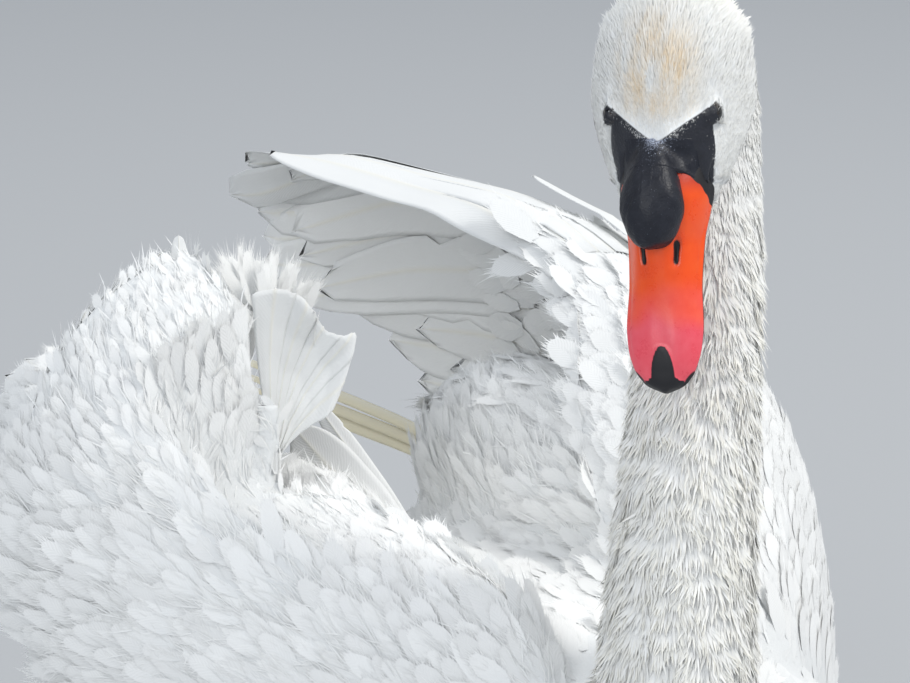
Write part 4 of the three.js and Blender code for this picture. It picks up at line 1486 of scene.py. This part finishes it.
# a long feather is a thin closed vane with a raised shaft
vanePlan = {
    "rows": 26,
    "across": [-1, -0.82, -0.6, -0.38, -0.16, -0.05, 0, 0.05, 0.16, 0.38, 0.6, 0.82, 1],
    "edgeThick": 0.00022,
    "shaftThick": 0.0016,
    "splits": 2,             # at most this many small gaps along each edge
}


def vaneOutline(u, tipFrom, rootShare):
    # half width along a feather, as a share of its widest: narrow root, blunt rounded tip
    rise = rootShare + (1 - rootShare) * smoothStep(0, 0.35, u)
    end = np.clip((u - tipFrom) / (1 - tipFrom), 0, 1)
    return rise * np.sqrt(np.clip(1 - end ** 2.2, 0, 1))


def closeVane(points, v, u):
    # gives a grid of points a thickness, thicker at the shaft, and closes its rim
    rows, columns = points.shape[:2]
    du, dv = np.gradient(points, axis=0), np.gradient(points, axis=1)
    normal = unit(np.cross(du, dv))
    normal[-2:] = normal[-3]              # the tip closes to a point
    thick = vanePlan["edgeThick"] + (vanePlan["shaftThick"] - vanePlan["edgeThick"]) * (
        np.exp(-(v / 0.09) ** 2)[None] * (1 - 0.75 * u)[:, None])
    both = np.concatenate([points + normal * thick[..., None] / 2, points - normal * thick[..., None] / 2])
    index = np.arange(rows * columns).reshape(rows, columns)
    a, b, c, d = index[:-1, :-1], index[:-1, 1:], index[1:, 1:], index[1:, :-1]
    top = np.stack([a, b, c, d], -1).reshape(-1, 4)
    under = top[:, ::-1] + rows * columns
    ring = np.concatenate([index[0], index[1:, -1], index[-1, -2::-1], index[-2:0:-1, 0]])
    after = np.roll(ring, -1)
    side = np.stack([ring + rows * columns, after + rows * columns, after, ring], -1)
    return both.reshape(-1, 3), np.concatenate([top, under, side])


def featherShape(draw, tipFrom=0.80, rootShare=0.45, jag=0.006):
    # one feather's own outline: where each point lies along and across, with small splits
    u = np.linspace(0, 1, vanePlan["rows"]) ** 0.85
    v = np.array(vanePlan["across"])
    along = np.repeat(u[:, None], len(v), 1)
    across = v[None] * vaneOutline(u, tipFrom, rootShare)[:, None]
    for _ in range(draw.integers(0, vanePlan["splits"] + 1)):
        row, side = draw.integers(8, len(u) - 4), draw.choice([-1, 1])
        deep = draw.uniform(0.12, 0.4)
        pick = v * side > 0.5
        across[row, pick] *= 1 - deep
        along[row, pick] += draw.uniform(-0.01, 0.02)
    along[-4:] += draw.normal(0, jag, (4, len(v))) * np.abs(v)[None]
    return u, v, along, across


def makeFeatherSet(name, feathers, replaced, cream=0.0, seed=1, dull=0.0):
    # feathers is a list of (grid of points, along, across, length, half width)
    points, faces, uv, vanes, start = [], [], [], [], 0
    marks = {"along": [], "vary": [], "cream": []}
    draw = np.random.default_rng(seed)
    cells = math.ceil(math.sqrt(len(feathers)))
    both = lambda value: np.concatenate([value.ravel(), value.ravel()])
    for i, (grid, u, v, long, half) in enumerate(feathers):
        p, f = closeVane(grid, v, u)
        points.append(p)
        faces.append(f + start)
        start += len(p)
        cell = np.array([i % cells, i // cells])
        uu, vv = np.meshgrid(u, v, indexing="ij")
        spot = (cell + 0.06 + 0.88 * np.stack([vv.ravel() * 0.5 + 0.5, uu.ravel()], 1)) / cells
        uv.append(np.concatenate([spot, spot]))
        shaft = 0.25 * np.exp(-(vv / 0.07) ** 2)
        # along: painted shade at each feather's root, lighter to its tip, and greyed all over by dull
        marks["along"].append(both(0.70 + 0.4 * uu) * (1 - dull) - 0.33 * dull)
        marks["vary"].append(np.full(len(p), draw.random() * (1 - dull)))
        marks["cream"].append(both(np.clip(cream * (0.6 + 0.5 * np.abs(vv)) + shaft, 0, 1)))
        vanes.append(np.stack([both(uu * long), both(vv * half), both(uu * 0)], 1))
    faces = np.concatenate(faces)
    obj = meshFromArrays(name, np.concatenate(points), faces, np.concatenate(uv))
    setAttributes(obj, **{key: np.clip(np.concatenate(value), 0, 1) for key, value in marks.items()})
    setVane(obj, np.concatenate(vanes))
    finishPiece(obj, "vane", "plumage", *replaced)
    rows, columns = len(feathers[0][1]), len(feathers[0][2])
    broad = np.arange(len(faces) // len(feathers)) < 2 * (rows - 1) * (columns - 1)
    # the thin rim is shaded flat
    obj.data.polygons.foreach_set("use_smooth", np.tile(broad, len(feathers)))
    obj.data.update()
    print(name, len(feathers), "feathers,", 2 * len(faces), "triangles")


archPlan = {
    # a raised wing arches about this line: how far out and how high it lies at each y
    1: {
        "out": curve([(-0.12, 0.054), (0.034, 0.088), (0.11, 0.095), (0.22, 0.090), (0.317, 0.072),
                      (0.43, 0.044)]),
        "level": curve([(-0.12, 0.190), (0.034, 0.196), (0.11, 0.212), (0.22, 0.234), (0.317, 0.244),
                        (0.43, 0.240)]),
    },
    -1: {
        "out": curve([(-0.12, 0.054), (0.034, 0.088), (0.09, 0.095), (0.13, 0.088), (0.20, 0.064),
                      (0.30, 0.054), (0.43, 0.040)]),
        "level": curve([(-0.12, 0.196), (0.0, 0.226), (0.05, 0.268), (0.09, 0.288), (0.13, 0.275),
                        (0.16, 0.255), (0.20, 0.240), (0.30, 0.226), (0.43, 0.226)]),
    },
}


def archReach(nodeNames, side):
    # how far out the nodes' outer face lies from the arch's line, at each y and turn
    tree = treeOfNodes(nodeNames)
    ends = [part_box(n) for n in nodeNames]
    ys = np.arange(min(e[0].y for e in ends) + 0.001, max(e[1].y for e in ends), 0.007)
    turns = np.radians(np.arange(-48, 121, 3))
    reach = np.full((len(ys), len(turns)), np.nan)
    for i, y in enumerate(ys):
        base = Vector((side * float(archPlan[side]["out"](y)), y, float(archPlan[side]["level"](y))))
        for j, a in enumerate(turns):
            way = Vector((side * math.cos(a), 0, math.sin(a)))
            hit = tree.ray_cast(base + way * 0.4, -way, 0.4)
            if hit[0] is not None:
                reach[i, j] = 0.4 - hit[3]
    for column in reach.T:
        column[:] = fillGaps(ys, column)
    for row in reach:
        row[:] = fillGaps(turns, row)
    for _ in range(2):
        reach[1:-1] = (reach[:-2] + 2 * reach[1:-1] + reach[2:]) / 4
        reach[:, 1:-1] = (reach[:, :-2] + 2 * reach[:, 1:-1] + reach[:, 2:]) / 4
    return ys, turns, reach


def onArch(field, side, y, turn, offset):
    # points on the arch's outer face, offset outwards
    ys, turns, reach = field
    i = np.clip((y - ys[0]) / (ys[1] - ys[0]), 0, len(ys) - 1.001)
    j = np.clip((turn - turns[0]) / (turns[1] - turns[0]), 0, len(turns) - 1.001)
    i0, j0 = i.astype(int), j.astype(int)
    fi, fj = i - i0, j - j0
    far = (reach[i0, j0] * (1 - fi) * (1 - fj) + reach[i0 + 1, j0] * fi * (1 - fj)
           + reach[i0, j0 + 1] * (1 - fi) * fj + reach[i0 + 1, j0 + 1] * fi * fj) + offset
    return np.stack([side * (archPlan[side]["out"](y) + far * np.cos(turn)), y,
                     archPlan[side]["level"](y) + far * np.sin(turn)], -1), far


flightPlan = {
    # root y, first and last angle round the arch in degrees, and each feather's tip: its y, how far it
    # droops below its neighbours, and where along its length it starts to narrow
    "secondaries_left": {"side": 1, "root": 0.115, "turns": (-3, 61), "width": 0.036, "over": 0.0006,
        "tips": [
        (0.366, 0, 0.80), (0.384, 0, 0.78), (0.400, 0, 0.72), (0.434, 0.010, 0.58), (0.448, 0.005, 0.60),
        (0.436, 0.002, 0.70), (0.430, 0.002, 0.74)]},
    "secondaries_right": {"side": -1, "root": 0.115, "turns": (-22, 84), "width": 0.032, "over": 0.0006,
        "tips": [
        (0.350, 0, 0.8), (0.368, 0, 0.8), (0.382, 0, 0.76), (0.392, 0, 0.76), (0.396, 0, 0.76),
        (0.394, 0, 0.76), (0.388, 0, 0.8)]},
    # tertials_left carries painted shade over its upward faces
    "tertials_left": {"side": 1, "root": 0.120, "turns": (63, 104), "width": 0.036, "dull": 1.0,
                      "over": 0.0009, "tips": [
        (0.424, 0.004, 0.66), (0.420, 0.008, 0.62), (0.392, 0.002, 0.72), (0.354, 0, 0.74)]},
    "tertials_right": {"side": -1, "root": 0.132, "turns": (85, 100), "width": 0.030, "over": 0.0009,
        "tips": [
        (0.382, 0, 0.8), (0.350, 0, 0.8), (0.306, 0, 0.8), (0.250, 0, 0.8)]},
}
archAspect = {1: 1.6, -1: 1.4}      # how much taller than wide each arch is
ridgeFeathers = [
    # on the left wing's crest: angle, root y, tip y, width, how far it stands off and how much its tip lifts
    (66, 0.200, 0.324, 0.017, 0.0022, 0.0030),
    (80, 0.125, 0.217, 0.015, 0.0045, 0.0045),
]


def archFeather(field, side, turn, root, tip, half, shape, offset, droop=0.0):
    u, v, along, across = shape
    y = root + (tip - root) * along
    base = np.full_like(y, turn)
    reach = onArch(field, side, y, base, 0)[1]
    turns = base + across * half / reach
    grid = onArch(field, side, y, turns, offset)[0]
    grid[..., 2] -= droop * along ** 3
    return (grid[:, ::-1] if side < 0 else grid), u, v, tip - root, half


archFields = {1: archReach(["secondaries_left", "tertials_left"], 1),
              -1: archReach(["secondaries_right", "tertials_right"], -1)}


def makeFlightFeathers(node, seed):
    plan = flightPlan[node]
    side = plan["side"]
    draw = np.random.default_rng(seed)
    field = archFields[side]
    lobes = len(plan["tips"])
    first, last = (math.radians(a) for a in plan["turns"])
    feathers = []
    for k in range(2 * lobes - 1):
        place = (k + 1) / (2 * lobes)
        angle = first + (last - first) * place
        turn = math.atan2(archAspect[side] * math.sin(angle), math.cos(angle))
        tip, droop, narrow = plan["tips"][k // 2]
        under = k % 2                      # every second one lies shorter, under its neighbours
        if under:
            tip = min(tip, plan["tips"][k // 2 + 1][0]) - 0.022
            narrow = 0.66
        shape = featherShape(draw, tipFrom=narrow)
        v, along = shape[1:3]
        half = plan["width"] / 2 * draw.uniform(0.94, 1.06)
        ripple = 0.0004 * np.sin(along * draw.uniform(5, 9) + draw.uniform(0, 6)) * along
        flare = draw.normal(0, 0.0005) * along ** 3
        offset = -0.0014 - 0.0007 * under + plan["over"] * v[None] + ripple + flare - 0.0004 * v[None] ** 2
        feathers.append(archFeather(field, side, turn, plan["root"], tip, half, shape, offset, droop))
    if node == "tertials_left":
        for angle, root, tip, width, stand, lift in ridgeFeathers:
            shape = featherShape(draw, tipFrom=0.35, rootShare=0.7, jag=0.012)
            along = shape[2]
            offset = stand + lift * along ** 2 - 0.0006 * shape[1][None] ** 2
            turn = math.radians(angle)
            feathers.append(archFeather(field, side, turn, root, tip, width / 2, shape, offset))
    makeFeatherSet(node.replace("_", "") + "Vanes", feathers, [node], seed=seed, dull=plan.get("dull", 0.0))


for number, node in enumerate(flightPlan):
    makeFlightFeathers(node, 101 + number)

# the folded primaries are a sheaf of narrow pale yellow blades
sheafPlan = {
    "lift": [0.0078, 0.0004, -0.0052],            # how high each blade lies at the sheaf's end
    "short": [0.000, 0.008, 0.016],               # how much shorter each is
    "width": 0.0062,
    "rootShare": 2.1,                             # how much wider they are where they leave the body
    "tilt": 0.30,
}


def sheafLine(node):
    # the middle of the node's rings, from root to tip
    points = np.array([v.co for v in nodes[node].data.vertices])
    cuts = np.linspace(points[:, 1].min(), points[:, 1].max(), 8)
    return cuts, np.array([points[np.abs(points[:, 1] - y) < 0.022].mean(0) for y in cuts])


def makePrimaries(node, side, seed):
    cuts, middles = sheafLine(node)
    draw = np.random.default_rng(seed)
    feathers = []
    for lift, short in zip(sheafPlan["lift"], sheafPlan["short"]):
        u, v, along, across = featherShape(draw, tipFrom=0.66, rootShare=sheafPlan["rootShare"], jag=0.002)
        end = cuts[-1] - short
        y = cuts[0] + (end - cuts[0]) * along
        half = sheafPlan["width"] / 2
        x = np.interp(y, cuts, middles[:, 0]) + across * half * math.cos(sheafPlan["tilt"])
        z = np.interp(y, cuts, middles[:, 2]) + lift * (0.35 + 0.65 * smoothStep(0, 0.8, along))
        z += side * across * half * math.sin(sheafPlan["tilt"]) - 0.0016 * (across * 2) ** 2 * 0.5
        z -= 0.0035 * along ** 4
        grid = np.stack([x, y, z], -1)
        feathers.append((grid, u, v, end - cuts[0], half))
    makeFeatherSet("primaries" + node[10:].title() + "Blades", feathers, [node], cream=1.0, seed=seed)


makePrimaries("primaries_left", 1, 121)
makePrimaries("primaries_right", -1, 122)

tailPlan = {
    "feathers": 13,
    "width": 0.030,
    "rootHalf": 0.026,       # half the fan's width at its root and at its tips
    "tipHalf": 0.052,
    "rootY": 0.352,
    "short": 0.046,          # how much shorter the outer feathers are
    "layer": 0.030,          # and how much shorter the ones below
}


def makeTail():
    tree = treeOfNodes(["tail"])
    low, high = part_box("tail")
    draw = np.random.default_rng(131)
    feathers = []
    for layer in (0, 1):
        count = tailPlan["feathers"] - 3 * layer
        for k in range(count):
            c = -1 + 2 * (k + 0.5) / count
            u, v, along, across = featherShape(draw, tipFrom=0.84)
            tip = high.y - 0.004 - tailPlan["short"] * abs(c) ** 1.6 - tailPlan["layer"] * layer
            y = tailPlan["rootY"] + (tip - tailPlan["rootY"]) * along
            x = c * (tailPlan["rootHalf"] + (tailPlan["tipHalf"] - tailPlan["rootHalf"]) * along)
            x = x + across * tailPlan["width"] / 2
            start = np.stack([np.clip(x, low.x + 0.006, high.x - 0.006) * 0.96, np.minimum(y, tip - 0.004),
                              np.full_like(x, low.z - 0.1 if layer else high.z + 0.1)], -1)
            z = castRays(tree, start, (0, 0, 1 if layer else -1), 2, 0.4)
            for column, places in zip(z.T, y.T):
                column[:] = fillGaps(places, column, (low.z + high.z) / 2)
            down = -0.001 - 0.0012 * np.abs(c) * 2 - 0.0008 * v[None] * np.sign(c)
            z = z + (down if layer == 0 else -down * 0.6)
            feathers.append((np.stack([x, y, z], -1), u, v, tip - tailPlan["rootY"], tailPlan["width"] / 2))
    makeFeatherSet("tailFeathers", feathers, ["tail"], seed=132)


makeTail()

# the upright fan on the right wing's ridge
fanPlan = {
    "outline": curve([(34, 0.0285), (42, 0.0394), (49, 0.0531), (55, 0.0657), (59, 0.0622), (64, 0.0612),
                      (72, 0.0659), (78, 0.0716), (92, 0.0789), (99, 0.0780)]),
    "feathers": [(83, 99), (71, 86), (60, 74), (50, 63), (38, 53)],
    "serration": 0.007,
}


def makeFan():
    # each feather fills a slice of the fan, and all end on one sweeping outline
    tree = treeOfNodes(["fan_right"])
    low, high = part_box("fan_right")
    root = Vector((low.x + 0.006, (low.y + high.y) / 2, low.z - 0.003))
    draw = np.random.default_rng(141)
    feathers = []
    for number, (first, last) in enumerate(fanPlan["feathers"]):
        u, v = featherShape(draw, jag=0.0)[:2]
        turn = np.radians(first + (last - first) * (v + 1) / 2)
        teeth = 1 + fanPlan["serration"] * draw.uniform(-1, 1, len(v))
        reach = fanPlan["outline"](np.degrees(turn)) * teeth
        away = 0.004 + (reach - 0.004)[None] * u[:, None]
        x = root.x + away * np.cos(turn)[None]
        z = root.z + away * np.sin(turn)[None]
        y = castRays(tree, np.stack([x, np.full_like(x, low.y - 0.1), z], -1), (0, 1, 0), 1, 0.3)
        for row in y:
            row[:] = fillGaps(v, row)
        for column in y.T:
            column[:] = fillGaps(u, column)
        y = y + 0.0010 + 0.0003 * v[None] - 0.0002 * number
        feathers.append((np.stack([x, y, z], -1), u, v, float(reach.max()), float(reach.max()) * 0.12))
    # painted shade: the fan's feathers are greyed
    makeFeatherSet("fanFeathers", feathers, ["fan_right"], seed=142, dull=0.8)


makeFan()

loosePlan = [
    # root and tip from the right wing's inner, rear, top corner; width, how far the middle bows upwards,
    # and the way it faces
    ((0.0117, -0.0877, -0.1362), (0.0117, 0.0023, -0.0982), 0.011, 0.003, (-0.45, -0.85, 0.30)),
    ((0.0047, -0.0897, -0.1392), (-0.0043, -0.0077, -0.1052), 0.026, 0.002, (-0.45, -0.85, 0.25)),
    ((-0.0813, -0.0497, -0.0252), (-0.0818, -0.0497, 0.0033), 0.0075, 0.0, (-0.45, -0.85, 0.20)),
]


def makeLooseFeathers():
    draw = np.random.default_rng(161)
    corner = np.array(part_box("wing_right")[1])
    feathers = []
    for root, tip, width, bow, facing in loosePlan:
        u, v, along, across = featherShape(draw, tipFrom=0.55, rootShare=0.8, jag=0.006)
        root, tip = corner + root, corner + tip
        run = unit(tip - root)
        aside = unit(np.cross(np.array(facing), run))
        over = np.cross(run, aside)
        grid = (root + along[..., None] * (tip - root) + across[..., None] * width / 2 * aside
                + over * (bow * np.sin(np.pi * along) - 0.0010 * across ** 2)[..., None])
        feathers.append((grid, u, v, float(np.linalg.norm(tip - root)), width / 2))
    makeFeatherSet("looseFeathers", feathers, [], seed=162)


makeLooseFeathers()

# small feathers over the long ones, on the arches' outer faces and under the left one
coverPlan = {
    "coatCoversRight": {"side": -1, "y": (0.060, 0.365), "turns": (-24, 93), "facing": 1, "offset": 0.0012,
                        "gap": 0.0080, "length": 0.023, "width": 0.0145, "lift": 0.05},
    "coatCoversLeft": {"side": 1, "y": (0.120, 0.215), "turns": (-16, 50), "facing": 1, "offset": 0.0012,
                       "gap": 0.0100, "length": 0.026, "width": 0.017, "lift": 0.03},
    "coatLiningLeft": {"side": 1, "y": (0.135, 0.300), "turns": (-12, 72), "facing": -1, "offset": -0.0062,
                       "gap": 0.0100, "length": 0.024, "width": 0.016, "lift": 0.02},
}


def archRoots(plan, seed):
    # evenly spaced roots on an arch's face; each takes the map place of the nearest skin
    draw = np.random.default_rng(seed)
    count = 9000
    field, side = archFields[plan["side"]], plan["side"]
    y = draw.uniform(*plan["y"], count)
    turn = np.radians(draw.uniform(*plan["turns"], count))
    place = lambda a, b: onArch(field, side, a, b, plan["offset"])[0]
    points = place(y, turn)
    normals = unit(np.cross(place(y + 0.003, turn) - place(y - 0.003, turn),
                            place(y, turn + 0.05) - place(y, turn - 0.05)))
    out = np.stack([side * np.cos(turn), 0 * turn, np.sin(turn)], 1)
    normals *= (np.sign((normals * out).sum(1)) * plan["facing"])[:, None]
    roots = spacedRoots({"points": points, "normals": normals, "turn": turn}, plan["gap"])
    tree = BVHTree.FromPolygons(surface["points"].tolist(), surface["corners"].tolist())
    near = np.array([tree.find_nearest(Vector(p))[2] for p in roots["points"]])
    roots["uv"] = surface["uv"][surface["loops"][near]].mean(1)
    return roots


def makeCovers(name, seed):
    plan = coverPlan[name]
    roots = archRoots(plan, seed)
    if plan["side"] < 0:
        roots = keepRoots(roots, (roots["points"][:, 1] > 0.134) | (roots["turn"] < 1.0))
    points = roots["points"]
    y, count = points[:, 1], len(points)
    clumps = noiseAt(points, 0.04, seed + 1)
    lie = np.stack([np.zeros(count), np.ones(count), 0.15 + 0.15 * clumps], 1)
    loose = np.zeros(count)
    if plan["side"] < 0:
        tuft = (smoothStep(0.17, 0.12, y) * smoothStep(0.7, 1.2, roots["turn"]))[:, None]
        lie = lie * (1 - tuft) + tuft * np.array([-0.35, 0.30, 0.90])
        loose = 0.3 * smoothStep(0.16, 0.34, y) + 0.5 * np.clip(clumps, 0, 1) + 0.3 * tuft[:, 0]
    grow = {"length": plan["length"] * (1 - 0.25 * loose), "width": plan["width"],
            "lift": plan["lift"] + 0.22 * loose, "curl": 0.12 * loose, "uneven": 0.03, "cup": 0.05,
            "drift": 0.05, "bright": 1.6}
    growCoat(name, roots, lie, downy if plan["side"] < 0 else smooth, grow, seed + 2, material="vane")


tuftTopPlan = {"side": -1, "y": (0.066, 0.128), "turns": (56, 104), "facing": 1, "offset": -0.019,
               "gap": 0.0045, "length": 0.021, "width": 0.012, "lift": 0.95}


def makeTuftTop():
    # loose feathers standing up behind the tuft, where the long ones begin
    plan = tuftTopPlan
    roots = archRoots(plan, 191)
    count = len(roots["points"])
    clumps = noiseAt(roots["points"], 0.025, 192)
    lie = np.stack([-0.25 + 0.2 * clumps, np.full(count, 0.45), np.zeros(count)], 1)
    grow = {"length": plan["length"] + 0.003 * clumps, "width": plan["width"],
            "lift": plan["lift"] + 0.15 * clumps, "curl": 0.15, "stray": 0.35, "uneven": 0.12, "cup": 0.06,
            "drift": 0.08, "bright": 1.5}
    growCoat("coatTuftTop", roots, lie, downy, grow, 193, material="vane")


makeTuftTop()
for number, name in enumerate(coverPlan):
    makeCovers(name, 171 + 5 * number)
print("long feathers laid")

# the feet are tucked forward under the flanks
legPlan = {
    "voxel": 0.0016,
    "scaleSize": 0.0034,
    "scaleDepth": 0.00035,
    "claw": (0.0026, 0.011),                      # radius and length
    "toes": ((0.062, 0.078), (0.084, 0.100), (0.108, 0.124)),    # where each toe lies, from the middle line
}


def makeLeg(node, side):
    leg = copyOfNodes("leg" + node[4:].title(), [node])
    applyModifier(leg, "REMESH", mode="VOXEL", voxel_size=legPlan["voxel"], use_smooth_shade=True)
    applyModifier(leg, "SMOOTH", factor=0.5, iterations=3)
    points, normals = getPoints(leg.data), getNormals(leg.data)
    shank = smoothStep(0.012, 0.020, points[:, 2])
    scales = noiseAt(points, legPlan["scaleSize"], 151) * (0.4 + 0.6 * shank)
    folds = np.sin(points[:, 1] * 2 * math.pi / 0.0085) * (1 - shank)
    points += normals * (legPlan["scaleDepth"] * (scales + 0.8 * folds))[:, None]
    points[:, 2] = np.maximum(points[:, 2], 0.0)
    setPoints(leg.data, points)
    claws = []
    radius, long = legPlan["claw"]
    for lowX, highX in legPlan["toes"]:
        near = points[(side * points[:, 0] > lowX) & (side * points[:, 0] < highX)]
        tip = near[near[:, 1] < near[:, 1].min() + 0.003].mean(0)
        deselectAll()
        bpy.ops.mesh.primitive_cone_add(vertices=16, radius1=radius, radius2=0.0004, depth=long,
                                        location=(tip[0], tip[1] - long * 0.3, 0.0036),
                                        rotation=(math.pi / 2, 0, 0))
        claw = bpy.context.object
        editAll(claw, bpy.ops.mesh.subdivide, number_cuts=3)
        bpy.ops.object.transform_apply(location=True, rotation=True, scale=True)
        places = getPoints(claw.data)
        out = np.clip((tip[1] - places[:, 1]) / long, 0, 1)
        places[:, 2] -= 0.0030 * out ** 2
        places[:, 2] = np.maximum(places[:, 2], 0.0002)
        setPoints(claw.data, places)
        claws.append(claw)
    for obj in [leg] + claws:
        setAttributes(obj, ink=np.full(len(obj.data.vertices), float(obj is not leg)))
    joinOnto(leg, claws)
    finishPiece(leg, "leg", "leg_skin", node)


makeLeg("leg_left", 1)
makeLeg("leg_right", -1)
print("feet made")

local = inHead(surface["points"])
setAttributes(skin, bare=np.where(np.linalg.norm(local, axis=1) < 0.06, bareness(local), -1.0))
finishPiece(skin, "face", "plumage", *fleshNodes)
